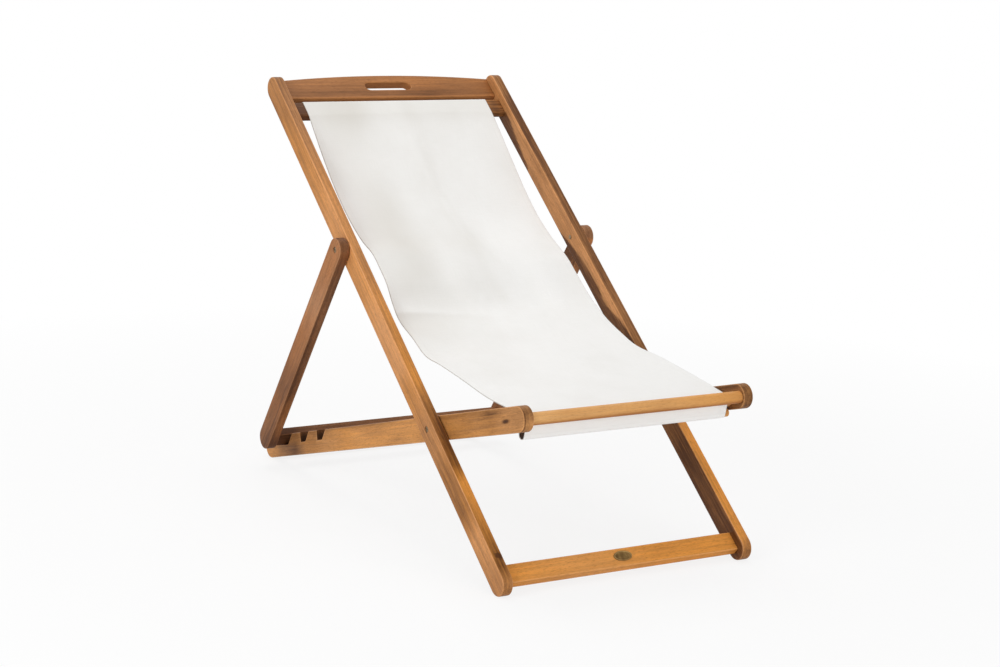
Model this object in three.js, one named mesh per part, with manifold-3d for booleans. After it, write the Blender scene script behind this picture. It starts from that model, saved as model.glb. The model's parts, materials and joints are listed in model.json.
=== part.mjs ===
// A folding sling deck chair: a long back frame and a shorter seat frame of oiled hardwood rails
// cross at one pair of bolts, a prop hung from the back frame rests in a notch of the seat frame,
// and one length of canvas hangs between the top of the back frame and the front of the seat.
//
// Millimetres. +Z is up, the sitter faces -Y, and the origin is on the floor, midway between the
// chair's front and rear ends and between its sides. Left is -X, as seen from in front.
//
// Each frame has its own axes: X across, Y along its rails and Z square to them, on their upper
// face. The back frame starts at the centre of its foot's round end, the seat frame at the pivot
// that joins the two, and the prop at its own pivot.

import * as THREE from 'three';
import { mergeVertices } from 'three/addons/utils/BufferGeometryUtils.js';
import Module from 'manifold-3d';

const wasm = await Module();
wasm.setup();

// Fits
const clearance = 0.3;
const overrun = 1;

// Rail stock, shared by the back frame, the seat frame and the prop
const rail_width = 48.5;
const rail_thickness = 21.5;
const rail_ease = 2.2;
const foot_flat_depth = 0.5;
const round_end_steps = 6;
const corner_steps = 2;
const ease_steps = 2;

// Back frame
const back_frame_width = 560;
const back_rail_run = 1280;
const back_angle = THREE.MathUtils.degToRad(38.54);
const pivot_run = 355;
const prop_pivot_run = 816.6;

// Seat frame, inside the back frame
const seat_frame_gap = 4;
const seat_rear_run = 783;
const seat_front_run = 296;

// Prop, outside the back frame
const prop_gap = 1.5;
const prop_leg_run = 565;
const prop_bar_height = 35;
const prop_bar_thickness = 20;
const prop_bar_ease = 2;
const prop_bar_below_end = 20;

// Notches in the seat rails: the prop bar rests in the first, the others set the back more upright
const first_notch_depth = 23.25;
const first_notch_floor = 36;
const first_notch_ramp = 26;
const notch_depth = 21;
const notch_floor = 22;
const notch_ramp = 21;
const second_notch_step = 103;
const third_notch_step = 83;

// Top rail with its hand slot
const top_rail_thickness = 20;
const top_rail_front = 1;
const top_rail_below_end = 32.5;
const top_rail_height = 54.5;
const top_rail_crown = 14;
const top_rail_ease = 2.2;
const crown_steps = 16;
const hand_slot_length = 112;
const hand_slot_height = 22.5;
const hand_slot_rise = 24;

// Bar that the sling turns over, just below the top rail
const sling_gap = 14;
const sling_bar_height = 42;
const sling_bar_thickness = 18;
const sling_bar_front = 5;
const sling_bar_ease = 5;

// Bottom rail and its oval plate
const bottom_rail_height = 40;
const bottom_rail_thickness = 18;
const bottom_rail_front = 6;
const bottom_rail_end = 33.5;
const bottom_rail_ease = 2.5;
const plate_length = 40;
const plate_width = 22;
const plate_thickness = 1.2;
const plate_rim_height = 0.6;
const plate_rim_width_share = 0.1;
const plate_rise = 21.5;

// Round bars of the seat frame
const dowel_diameter = 24;
const dowel_past_end = 8;
const dowel_drop = 1.7;
const front_bar_diameter = 25;
const front_bar_gap = 9.5;
const front_bar_drop = 4;
const stretcher_diameter = 24;
const stretcher_before_end = 13;
const stretcher_drop = 8;
const round_bar_sides = 32;
const socket_depth = 8;

// Tenons on the flat cross members
const tenon_length = 12;
const tenon_thickness = 9;
const top_tenon_height = 34;
const top_tenon_rise = 10;
const bar_tenon_height = 24;

// Hem rods
const hem_rod_diameter = 16;
const hem_rod_short = 3;
const lower_rod_hang = 3.3;
const lower_rod_lean = THREE.MathUtils.degToRad(71.6);
const lower_rod_offset = 9;
const rod_sides = 24;

// Sling
const sling_side_gap = 8;
const sling_thickness = 1.2;
const sling_sag = 130;
const sling_top_offset = -2;
const sling_foot_offset = -4;
const sling_strips = 5;
const sling_steps = 34;
const hem_steps = 14;
const turn_steps = 3;

// Where the sheet leaves and meets its turns round each rod or bar
const upper_pocket_from = THREE.MathUtils.degToRad(-255);
const upper_pocket_to = THREE.MathUtils.degToRad(72);
const upper_turn_from = THREE.MathUtils.degToRad(15);
const upper_turn_to = THREE.MathUtils.degToRad(90);
const front_turn_from = THREE.MathUtils.degToRad(111);
const lower_pocket_turn = THREE.MathUtils.degToRad(340);

// Places along the sling's free span, from the upper bar to the front bar, as shares of the
// straight line between them, each with the left and the right edge's drop as shares of the sag.
const sling_profile_shares = [
  [0.0, 0.0, 0.0],
  [0.05, 0.16, 0.13],
  [0.12, 0.37, 0.32],
  [0.2, 0.57, 0.53],
  [0.27, 0.68, 0.67],
  [0.33, 0.71, 0.73],
  [0.38, 0.715, 0.74],
  [0.42, 0.74, 0.75],
  [0.46, 0.81, 0.81],
  [0.5, 0.92, 0.87],
  [0.54, 0.985, 0.91],
  [0.6, 1.0, 0.92],
  [0.66, 0.98, 0.87],
  [0.72, 0.85, 0.78],
  [0.8, 0.62, 0.53],
  [0.88, 0.38, 0.31],
  [0.95, 0.165, 0.125],
  [1.0, 0.0, 0.0],
];

// Main pivot bolts
const pivot_shank_diameter = 8;
const pivot_head_diameter = 12;
const pivot_head_height = 3;
const pivot_head_depth = 4;
const pivot_washer_diameter = 26;
const pivot_nut_size = 14;
const pivot_nut_height = 5;
const pivot_nut_depth = 6;
const pivot_nut_room = 20;

// Prop bolts
const prop_shank_diameter = 6;
const prop_head_diameter = 12.6;
const prop_head_height = 2.4;
const prop_head_depth = 3.2;
const prop_washer_diameter = 20;
const prop_nut_diameter = 9;
const prop_nut_height = 3;
const prop_nut_depth = 2.2;
const bolt_sides = 24;

// Positions that follow from the sizes above
const rail_radius = rail_width / 2;
const foot_height = rail_radius - foot_flat_depth;
const back_outer = back_frame_width / 2;
const back_inner = back_outer - rail_thickness;
const seat_outer = back_inner - seat_frame_gap;
const seat_inner = seat_outer - rail_thickness;
const prop_inner = back_outer + prop_gap;
const prop_outer = prop_inner + rail_thickness;
const top_rail_start = back_rail_run - top_rail_below_end;
const dowel_run = seat_front_run + dowel_past_end;
const front_bar_run = dowel_run - dowel_diameter / 2 - front_bar_gap - front_bar_diameter / 2;
const stretcher_run = seat_rear_run - stretcher_before_end;
const sling_half = seat_inner - sling_side_gap;
const rod_half = sling_half - hem_rod_short;

// The upper rod's pocket is drawn up against the top rail's rear corner; the lower rod's hangs
// just clear of the front bar.
const pocket_outer = hem_rod_diameter / 2 + clearance + sling_thickness;
const upper_rod_run = top_rail_start - sling_gap / 2;
const upper_rod_drop = top_rail_thickness - top_rail_front
  + Math.sqrt((pocket_outer + clearance) ** 2 - (sling_gap / 2) ** 2);
const lower_rod_reach = front_bar_diameter / 2 + pocket_outer + lower_rod_hang;
const lower_rod_run = front_bar_run - lower_rod_reach * Math.cos(lower_rod_lean);
const lower_rod_drop = front_bar_drop + lower_rod_reach * Math.sin(lower_rod_lean);

// The seat rails' angle puts their rear ends on the floor beside the back rails' feet.
const seat_angle = -Math.asin(pivot_run * Math.sin(back_angle) / seat_rear_run);

// The prop's angle puts the low corner of its bar on the first notch's floor.
const fold_angle = back_angle - seat_angle;
const prop_pivot_along_seat = (prop_pivot_run - pivot_run) * Math.cos(fold_angle);
const prop_pivot_above_seat = (prop_pivot_run - pivot_run) * Math.sin(fold_angle);
const first_notch_level = rail_radius - first_notch_depth;
const bar_low_end = prop_leg_run + prop_bar_below_end;
const bar_corner_run = bar_low_end - prop_bar_ease;
const bar_corner_side = prop_bar_thickness / 2 - prop_bar_ease;
const bar_corner_level = first_notch_level + clearance + prop_bar_ease;
const bar_corner_reach = Math.hypot(bar_corner_run, bar_corner_side);
const prop_slope = Math.asin((prop_pivot_above_seat - bar_corner_level) / bar_corner_reach)
  - Math.atan2(bar_corner_side, bar_corner_run);
const prop_angle = seat_angle - prop_slope;
const first_notch_wall = prop_pivot_along_seat + bar_corner_run * Math.cos(prop_slope)
  + bar_corner_side * Math.sin(prop_slope) + prop_bar_ease + clearance;
const second_notch_wall = first_notch_wall - second_notch_step;
const third_notch_wall = second_notch_wall - third_notch_step;

// Geometry to solid and back
function toSolid(geometry) {
  const bare = geometry.index ? geometry.clone() : geometry;
  bare.deleteAttribute('normal');
  bare.deleteAttribute('uv');
  const merged = mergeVertices(bare);
  return new wasm.Manifold(new wasm.Mesh({
    numProp: 3,
    vertProperties: new Float32Array(merged.attributes.position.array),
    triVerts: new Uint32Array(merged.index.array),
  }));
}

function toGeometry(solid) {
  const mesh = solid.getMesh();
  const geometry = new THREE.BufferGeometry();
  geometry.setAttribute('position', new THREE.BufferAttribute(mesh.vertProperties, mesh.numProp));
  geometry.setIndex(new THREE.BufferAttribute(mesh.triVerts, 1));
  geometry.computeVertexNormals();
  return geometry;
}

function withCuts(geometry, cuts) {
  let solid = toSolid(geometry);
  for (const cut of cuts) {
    solid = solid.subtract(toSolid(cut));
  }
  return toGeometry(solid);
}

function withAdded(geometry, additions) {
  let solid = toSolid(geometry);
  for (const addition of additions) {
    solid = solid.add(toSolid(addition));
  }
  return toGeometry(solid);
}

// From one distance to another across the chair, on the given side (-1 left, +1 right)
function across(side, near, far) {
  return [Math.min(side * near, side * far), Math.max(side * near, side * far)];
}

// An outline of the frame's Y and Z, given thickness along X, with eased edges
function alongX(shape, [low, high], ease, curve_steps) {
  const geometry = new THREE.ExtrudeGeometry(shape, {
    depth: high - low - ease - ease,
    bevelEnabled: ease > 0,
    bevelThickness: ease,
    bevelSize: ease,
    bevelOffset: -ease,
    bevelSegments: ease_steps,
    curveSegments: curve_steps,
  });
  const axes = new THREE.Matrix4().makeBasis(
    new THREE.Vector3(0, 1, 0), new THREE.Vector3(0, 0, 1), new THREE.Vector3(1, 0, 0));
  return geometry.translate(0, 0, low + ease).applyMatrix4(axes);
}

// A round pin or hole along X
function roundAlongX(diameter, [low, high], along, level, sides) {
  return new THREE.CylinderGeometry(diameter / 2, diameter / 2, high - low, sides)
    .rotateZ(Math.PI / 2)
    .translate((low + high) / 2, along, level);
}

function blockAlongX([low, high], [start, end], [bottom, top]) {
  return new THREE.BoxGeometry(high - low, end - start, top - bottom)
    .translate((low + high) / 2, (start + end) / 2, (bottom + top) / 2);
}

function polygon(points) {
  const shape = new THREE.Shape();
  shape.setFromPoints(points.map(([a, b]) => new THREE.Vector2(a, b)));
  return shape;
}

// A rail's outline: straight edges and half-round ends
function railOutline(start, end) {
  const shape = new THREE.Shape();
  shape.moveTo(start, -rail_radius);
  shape.lineTo(end, -rail_radius);
  shape.absarc(end, 0, rail_radius, -Math.PI / 2, Math.PI / 2, false);
  shape.lineTo(start, rail_radius);
  shape.absarc(start, 0, rail_radius, Math.PI / 2, Math.PI * 1.5, false);
  return shape;
}

// A rectangle with rounded corners
function easedRectangle([start, end], [bottom, top], radius) {
  const shape = new THREE.Shape();
  shape.moveTo(start + radius, bottom);
  shape.lineTo(end - radius, bottom);
  shape.absarc(end - radius, bottom + radius, radius, -Math.PI / 2, 0, false);
  shape.lineTo(end, top - radius);
  shape.absarc(end - radius, top - radius, radius, 0, Math.PI / 2, false);
  shape.lineTo(start + radius, top);
  shape.absarc(start + radius, top - radius, radius, Math.PI / 2, Math.PI, false);
  shape.lineTo(start, bottom + radius);
  shape.absarc(start + radius, bottom + radius, radius, Math.PI, Math.PI * 1.5, false);
  return shape;
}

// The space below the floor at a rail's foot, which planes the small flat that it stands on
function belowFloor(angle, foot) {
  return new THREE.BoxGeometry(back_frame_width, rail_width, rail_width)
    .translate(0, 0, -rail_width / 2 - foot_height)
    .rotateX(-angle)
    .translate(0, foot, 0);
}

// A flat cross member's tenons, and the mortises that take them
const top_rail_middle = top_rail_front - top_rail_thickness / 2;
const sling_bar_end = top_rail_start - sling_gap;
const sling_bar_start = sling_bar_end - sling_bar_height;
const sling_bar_back = sling_bar_front - sling_bar_thickness;
const sling_bar_middle = sling_bar_front - sling_bar_thickness / 2;
const bottom_rail_start = bottom_rail_end - bottom_rail_height;
const bottom_rail_middle = bottom_rail_front - bottom_rail_thickness / 2;
const bar_high_end = bar_low_end - prop_bar_height;

function centred(middle, size) {
  return [middle - size / 2, middle + size / 2];
}

function grown([low, high], by) {
  return [low - by, high + by];
}

const top_tenon = [[top_rail_start + top_tenon_rise, top_rail_start + top_tenon_rise + top_tenon_height],
  centred(top_rail_middle, tenon_thickness)];
const sling_bar_tenon = [centred((sling_bar_start + sling_bar_end) / 2, bar_tenon_height),
  centred(sling_bar_middle, tenon_thickness)];
const bottom_tenon = [centred((bottom_rail_start + bottom_rail_end) / 2, bar_tenon_height),
  centred(bottom_rail_middle, tenon_thickness)];
const prop_bar_tenon = [centred((bar_low_end + bar_high_end) / 2, bar_tenon_height),
  centred(0, tenon_thickness)];

function tenons(inner, [run, levels]) {
  return [-1, 1].map((side) => blockAlongX(
    across(side, inner - clearance - overrun, inner + tenon_length), run, levels));
}

function mortise(side, inner, [run, levels]) {
  return blockAlongX(across(side, inner - overrun, inner + tenon_length + clearance),
    grown(run, clearance), grown(levels, clearance));
}

function socket(side, inner, diameter, along, level) {
  return roundAlongX(diameter + clearance + clearance,
    across(side, inner - overrun, inner + socket_depth + clearance), along, level, round_bar_sides);
}

// Woods and metals
function wood(color, roughness) {
  return new THREE.MeshStandardMaterial({ color, roughness, metalness: 0 });
}
const honey_wood = wood(0xcd915c, 0.5);
const golden_wood = wood(0xcd8e4b, 0.5);
const brown_wood = wood(0x96643e, 0.55);
const red_wood = wood(0x9b6444, 0.55);
const pale_wood = wood(0xdca564, 0.5);
const seat_wood = wood(0x9c6a45, 0.5);
const brass = new THREE.MeshStandardMaterial({ color: 0x9a8a55, roughness: 0.4, metalness: 0.9 });
const steel = new THREE.MeshStandardMaterial({ color: 0xa8a8a4, roughness: 0.4, metalness: 1 });
const canvas = new THREE.MeshStandardMaterial({ color: 0xeeedea, roughness: 0.9, metalness: 0 });

const chair = new THREE.Group();
const back_frame = new THREE.Group();
const seat_frame = new THREE.Group();
const prop_frame = new THREE.Group();
chair.add(back_frame);
back_frame.add(seat_frame);
back_frame.add(prop_frame);
back_frame.position.set(0, 0, foot_height);
back_frame.rotation.x = back_angle;
seat_frame.position.set(0, pivot_run, 0);
seat_frame.rotation.x = seat_angle - back_angle;
prop_frame.position.set(0, prop_pivot_run, 0);
prop_frame.rotation.x = prop_angle - back_angle;

function addPiece(group, name, geometry, material) {
  const mesh = new THREE.Mesh(geometry, material);
  mesh.name = name;
  group.add(mesh);
}

const sides = [['left', -1], ['right', 1]];

// Back rails
for (const [name, side] of sides) {
  const through = grown(across(side, back_inner, back_outer), overrun);
  addPiece(back_frame, `${name}_back_rail`, withCuts(
    alongX(railOutline(0, back_rail_run), across(side, back_inner, back_outer), rail_ease,
      round_end_steps), [
      roundAlongX(pivot_shank_diameter + clearance + clearance, through, pivot_run, 0, bolt_sides),
      roundAlongX(pivot_head_diameter + clearance + clearance,
        across(side, back_outer - pivot_head_depth, back_outer + overrun), pivot_run, 0, bolt_sides),
      roundAlongX(prop_shank_diameter + clearance + clearance, through, prop_pivot_run, 0, bolt_sides),
      roundAlongX(prop_nut_diameter + clearance + clearance,
        across(side, back_inner - overrun, back_inner + prop_nut_depth), prop_pivot_run, 0, bolt_sides),
      mortise(side, back_inner, top_tenon),
      mortise(side, back_inner, sling_bar_tenon),
      mortise(side, back_inner, bottom_tenon),
      belowFloor(back_angle, 0),
    ]), honey_wood);
}

// Top rail: crowned along its upper edge, with a slot for the hand
const cross_half = back_inner - clearance;
const top_outline = new THREE.Shape();
top_outline.moveTo(-cross_half, top_rail_start);
top_outline.lineTo(cross_half, top_rail_start);
for (let step = 0; step <= crown_steps; step += 1) {
  const share = 1 - 2 * step / crown_steps;
  top_outline.lineTo(cross_half * share,
    top_rail_start + top_rail_height + top_rail_crown * (1 - share * share));
}
const slot_radius = hand_slot_height / 2;
const slot_half = hand_slot_length / 2 - slot_radius;
const slot_low = top_rail_start + hand_slot_rise;
const slot_outline = new THREE.Path();
slot_outline.moveTo(-slot_half, slot_low);
slot_outline.lineTo(slot_half, slot_low);
slot_outline.absarc(slot_half, slot_low + slot_radius, slot_radius, -Math.PI / 2, Math.PI / 2, false);
slot_outline.lineTo(-slot_half, slot_low + hand_slot_height);
slot_outline.absarc(-slot_half, slot_low + slot_radius, slot_radius,
  Math.PI / 2, Math.PI * 1.5, false);
top_outline.holes.push(slot_outline);
const top_rail_board = new THREE.ExtrudeGeometry(top_outline, {
  depth: top_rail_thickness - top_rail_ease - top_rail_ease,
  bevelEnabled: true,
  bevelThickness: top_rail_ease,
  bevelSize: top_rail_ease,
  bevelOffset: -top_rail_ease,
  bevelSegments: ease_steps,
  curveSegments: round_end_steps,
}).translate(0, 0, top_rail_front - top_rail_thickness + top_rail_ease);
addPiece(back_frame, 'top_rail',
  withAdded(top_rail_board, tenons(back_inner, top_tenon)), brown_wood);

// Flat bars across the back frame
const cross_span = [-cross_half, cross_half];
addPiece(back_frame, 'upper_sling_bar', withAdded(
  alongX(easedRectangle([sling_bar_start, sling_bar_end], [sling_bar_back, sling_bar_front],
    sling_bar_ease), cross_span, 0, corner_steps),
  tenons(back_inner, sling_bar_tenon)), honey_wood);
addPiece(back_frame, 'bottom_rail', withAdded(
  alongX(easedRectangle([bottom_rail_start, bottom_rail_end],
    [bottom_rail_front - bottom_rail_thickness, bottom_rail_front], bottom_rail_ease), cross_span, 0,
  corner_steps),
  tenons(back_inner, bottom_tenon)), golden_wood);

// Oval plate with a raised rim, on the bottom rail's front face
const rim_start_share = 1 - plate_rim_width_share - plate_rim_width_share;
const rim_top_share = 1 - plate_rim_width_share;
const plate_profile = [
  new THREE.Vector2(0, 0),
  new THREE.Vector2(1, 0),
  new THREE.Vector2(1, plate_thickness),
  new THREE.Vector2(rim_top_share, plate_thickness + plate_rim_height),
  new THREE.Vector2(rim_start_share, plate_thickness),
  new THREE.Vector2(0, plate_thickness),
];
addPiece(back_frame, 'oval_plate', toGeometry(toSolid(
  new THREE.LatheGeometry(plate_profile, round_bar_sides)
    .rotateX(Math.PI / 2)
    .scale(plate_length / 2, plate_width / 2, 1)
    .translate(0, bottom_rail_start + plate_rise, bottom_rail_front + clearance))), brass);

// Seat rails with their notches
function notch(wall, floor, ramp, depth) {
  const level = rail_radius - depth;
  const slope_past_edge = ramp * overrun / depth;
  return polygon([
    [wall, level],
    [wall, rail_radius + overrun],
    [wall - floor - ramp - slope_past_edge, rail_radius + overrun],
    [wall - floor, level],
  ]);
}
const notches = [
  notch(first_notch_wall, first_notch_floor, first_notch_ramp, first_notch_depth),
  notch(second_notch_wall, notch_floor, notch_ramp, notch_depth),
  notch(third_notch_wall, notch_floor, notch_ramp, notch_depth),
];
for (const [name, side] of sides) {
  const through = grown(across(side, seat_inner, seat_outer), overrun);
  addPiece(seat_frame, `${name}_seat_rail`, withCuts(
    alongX(railOutline(-seat_front_run, seat_rear_run), across(side, seat_inner, seat_outer),
      rail_ease, round_end_steps), [
      ...notches.map((outline) => alongX(outline, through, 0, corner_steps)),
      roundAlongX(pivot_shank_diameter + clearance + clearance, through, 0, 0, bolt_sides),
      roundAlongX(pivot_nut_room,
        across(side, seat_inner - overrun, seat_inner + pivot_nut_depth), 0, 0, bolt_sides),
      socket(side, seat_inner, dowel_diameter, -dowel_run, -dowel_drop),
      socket(side, seat_inner, front_bar_diameter, -front_bar_run, -front_bar_drop),
      socket(side, seat_inner, stretcher_diameter, stretcher_run, -stretcher_drop),
      belowFloor(seat_angle, seat_rear_run),
    ]), seat_wood);
}

// Round bars across the seat frame, their ends let into the rails
const round_bar_span = [-seat_inner - socket_depth, seat_inner + socket_depth];
addPiece(seat_frame, 'front_dowel',
  toGeometry(toSolid(roundAlongX(dowel_diameter, round_bar_span, -dowel_run, -dowel_drop,
    round_bar_sides))), pale_wood);
addPiece(seat_frame, 'front_sling_bar',
  toGeometry(toSolid(roundAlongX(front_bar_diameter, round_bar_span, -front_bar_run,
    -front_bar_drop, round_bar_sides))), pale_wood);
addPiece(seat_frame, 'rear_stretcher',
  toGeometry(toSolid(roundAlongX(stretcher_diameter, round_bar_span, stretcher_run,
    -stretcher_drop, round_bar_sides))), seat_wood);

// Prop legs and the flat bar between them
for (const [name, side] of sides) {
  const through = grown(across(side, prop_inner, prop_outer), overrun);
  addPiece(prop_frame, `${name}_prop_leg`, withCuts(
    alongX(railOutline(0, prop_leg_run), across(side, prop_inner, prop_outer), rail_ease,
      round_end_steps), [
      roundAlongX(prop_shank_diameter + clearance + clearance, through, 0, 0, bolt_sides),
      roundAlongX(prop_head_diameter + clearance + clearance,
        across(side, prop_outer - prop_head_depth, prop_outer + overrun), 0, 0, bolt_sides),
      mortise(side, prop_inner, prop_bar_tenon),
    ]), red_wood);
}
addPiece(prop_frame, 'prop_cross_bar', withAdded(
  alongX(easedRectangle([bar_high_end, bar_low_end], centred(0, prop_bar_thickness), prop_bar_ease),
    [-prop_inner + clearance, prop_inner - clearance], 0, corner_steps),
  tenons(prop_inner, prop_bar_tenon)), red_wood);

// Bolts, spacer washers and nuts
function ring(outer_diameter, inner_diameter, span, along, sides_count) {
  return withCuts(roundAlongX(outer_diameter, span, along, 0, sides_count),
    [roundAlongX(inner_diameter, grown(span, overrun), along, 0, bolt_sides)]);
}
for (const [name, side] of sides) {
  const pivot_head_seat = back_outer - pivot_head_depth + clearance;
  const pivot_nut_seat = seat_inner + pivot_nut_depth - clearance;
  addPiece(back_frame, `${name}_pivot_bolt`, withAdded(
    roundAlongX(pivot_head_diameter, across(side, pivot_head_seat, pivot_head_seat + pivot_head_height),
      pivot_run, 0, bolt_sides),
    [roundAlongX(pivot_shank_diameter, across(side, seat_inner + clearance, pivot_head_seat + overrun),
      pivot_run, 0, bolt_sides)]), steel);
  addPiece(back_frame, `${name}_pivot_washer`, ring(pivot_washer_diameter,
    pivot_shank_diameter + clearance + clearance,
    across(side, seat_outer + clearance, back_inner - clearance), pivot_run, bolt_sides), steel);
  addPiece(back_frame, `${name}_pivot_nut`, ring(pivot_nut_size,
    pivot_shank_diameter + clearance + clearance,
    across(side, pivot_nut_seat - pivot_nut_height, pivot_nut_seat), pivot_run, 6), steel);
  const prop_head_seat = prop_outer - prop_head_depth + clearance;
  const prop_nut_seat = back_inner + prop_nut_depth - clearance;
  addPiece(back_frame, `${name}_prop_bolt`, withAdded(
    roundAlongX(prop_head_diameter, across(side, prop_head_seat, prop_head_seat + prop_head_height),
      prop_pivot_run, 0, bolt_sides),
    [roundAlongX(prop_shank_diameter,
      across(side, prop_nut_seat - prop_nut_height, prop_head_seat + overrun),
      prop_pivot_run, 0, bolt_sides)]), steel);
  addPiece(back_frame, `${name}_prop_washer`, ring(prop_washer_diameter,
    prop_shank_diameter + clearance + clearance,
    across(side, back_outer + clearance, prop_inner - clearance), prop_pivot_run, bolt_sides), steel);
  addPiece(back_frame, `${name}_prop_nut`, ring(prop_nut_diameter,
    prop_shank_diameter + clearance + clearance,
    across(side, prop_nut_seat - prop_nut_height, prop_nut_seat), prop_pivot_run, bolt_sides), steel);
}

// Hem rods: the upper one hangs behind the gap above the sling bar, the lower one under the
// front sling bar
addPiece(back_frame, 'upper_hem_rod', toGeometry(toSolid(roundAlongX(hem_rod_diameter,
  grown([sling_top_offset, sling_top_offset], rod_half), upper_rod_run, -upper_rod_drop,
  rod_sides))), pale_wood);
addPiece(seat_frame, 'lower_hem_rod', toGeometry(toSolid(roundAlongX(hem_rod_diameter,
  grown([lower_rod_offset, lower_rod_offset], rod_half), -lower_rod_run, -lower_rod_drop,
  rod_sides))), pale_wood);

// Sling: one thin sheet from the pocket round the upper rod, out through the gap, down over the
// upper bar, across the seat, round the front bar and into the pocket round the lower rod
function inSideView(frame, along, level) {
  const point = frame.localToWorld(new THREE.Vector3(0, along, level));
  return new THREE.Vector2(point.y, point.z);
}

function arc(frame, along, level, radius, from, to, steps) {
  const points = [];
  for (let step = 0; step <= steps; step += 1) {
    const angle = from + (to - from) * step / steps;
    points.push(inSideView(frame, along + radius * Math.cos(angle), level + radius * Math.sin(angle)));
  }
  return points;
}

chair.updateMatrixWorld(true);
const sheet_stand_off = clearance + sling_thickness / 2;
const pocket_radius = hem_rod_diameter / 2 + sheet_stand_off;
const upper_turn_radius = sling_bar_ease + sheet_stand_off;
const front_turn_radius = front_bar_diameter / 2 + sheet_stand_off;

// The sheet runs from the front bar to the lower rod along the line that touches both turns.
const tangent_lean = Math.acos((front_turn_radius - pocket_radius) / lower_rod_reach);
const front_turn_to = Math.PI * 2 - lower_rod_lean - tangent_lean;

const upper_part = [
  ...arc(back_frame, upper_rod_run, -upper_rod_drop, pocket_radius,
    upper_pocket_from, upper_pocket_to, hem_steps),
  inSideView(back_frame, upper_rod_run, sling_bar_back + sheet_stand_off + sheet_stand_off),
  ...arc(back_frame, sling_bar_end - sling_bar_ease, sling_bar_front - sling_bar_ease,
    upper_turn_radius, upper_turn_from, upper_turn_to, turn_steps),
];
const lower_part = [
  ...arc(seat_frame, -front_bar_run, -front_bar_drop, front_turn_radius,
    front_turn_from, front_turn_to, turn_steps + turn_steps),
  ...arc(seat_frame, -lower_rod_run, -lower_rod_drop, pocket_radius,
    front_turn_to, front_turn_to + lower_pocket_turn, hem_steps),
];
const span_start = inSideView(back_frame, sling_bar_start, sling_bar_front + sheet_stand_off);
const span_end = lower_part[0];
const span_line = span_end.clone().sub(span_start);
const span_down = new THREE.Vector2(span_line.y, -span_line.x).normalize().negate();

function spanCurve(column) {
  return new THREE.SplineCurve(sling_profile_shares.map((row) => span_start.clone()
    .addScaledVector(span_line, row[0])
    .addScaledVector(span_down, sling_sag * row[column])));
}
const left_span = spanCurve(1);
const right_span = spanCurve(2);

function sheetLine(share) {
  const points = [...upper_part];
  for (let step = 0; step < sling_steps; step += 1) {
    const left = left_span.getPoint(step / sling_steps);
    points.push(left.lerp(right_span.getPoint(step / sling_steps), share));
  }
  return [...points, ...lower_part];
}

// Both faces of the sheet at one place across it, by moving each point square to the line
function sheetFaces(line) {
  return line.map((point, index) => {
    const before = line[Math.max(index - 1, 0)];
    const after = line[Math.min(index + 1, line.length - 1)];
    const ahead = after.clone().sub(before).normalize();
    const aside = new THREE.Vector2(-ahead.y, ahead.x).multiplyScalar(sling_thickness / 2);
    return [point.clone().add(aside), point.clone().sub(aside)];
  });
}

const corners = [];
for (let strip = 0; strip <= sling_strips; strip += 1) {
  const share = strip / sling_strips;
  const faces = sheetFaces(sheetLine(share));
  faces.forEach((pair, index) => {
    const offset = THREE.MathUtils.lerp(sling_top_offset, sling_foot_offset, index / (faces.length - 1));
    for (const point of pair) {
      corners.push(offset + THREE.MathUtils.lerp(-sling_half, sling_half, share), point.x, point.y);
    }
  });
}
const line_points = corners.length / (3 * 2 * (sling_strips + 1));
function corner(strip, index, face) {
  return (strip * line_points + index) * 2 + face;
}
const faces = [];
function quad(a, b, c, d) {
  faces.push(a, c, b, a, d, c);
}
for (let index = 0; index < line_points - 1; index += 1) {
  for (let strip = 0; strip < sling_strips; strip += 1) {
    quad(corner(strip, index, 0), corner(strip, index + 1, 0),
      corner(strip + 1, index + 1, 0), corner(strip + 1, index, 0));
    quad(corner(strip, index, 1), corner(strip + 1, index, 1),
      corner(strip + 1, index + 1, 1), corner(strip, index + 1, 1));
  }
  quad(corner(0, index, 0), corner(0, index, 1),
    corner(0, index + 1, 1), corner(0, index + 1, 0));
  quad(corner(sling_strips, index, 0), corner(sling_strips, index + 1, 0),
    corner(sling_strips, index + 1, 1), corner(sling_strips, index, 1));
}
for (let strip = 0; strip < sling_strips; strip += 1) {
  const last = line_points - 1;
  quad(corner(strip, 0, 0), corner(strip + 1, 0, 0), corner(strip + 1, 0, 1), corner(strip, 0, 1));
  quad(corner(strip, last, 0), corner(strip, last, 1),
    corner(strip + 1, last, 1), corner(strip + 1, last, 0));
}
const sheet = new THREE.BufferGeometry();
sheet.setAttribute('position', new THREE.Float32BufferAttribute(corners, 3));
sheet.setIndex(faces);
addPiece(chair, 'sling', sheet, canvas);

// The origin is midway along the chair's footprint.
const extent = new THREE.Box3().setFromObject(chair, true);
chair.position.y = -(extent.min.y + extent.max.y) / 2;
chair.updateMatrixWorld(true);

export default chair;
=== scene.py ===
"""A folding sling deck chair: oiled hardwood rails, a notched prop and one length of canvas.

Metres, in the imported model's frame: +Z is up, the sitter faces -Y, and left is -X.
"""
import json
import math

import bmesh
import bpy
import numpy as np
from bpy.props import FloatProperty, FloatVectorProperty, PointerProperty
from bpy.types import Operator, Panel, PropertyGroup
from mathutils import Matrix


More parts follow.
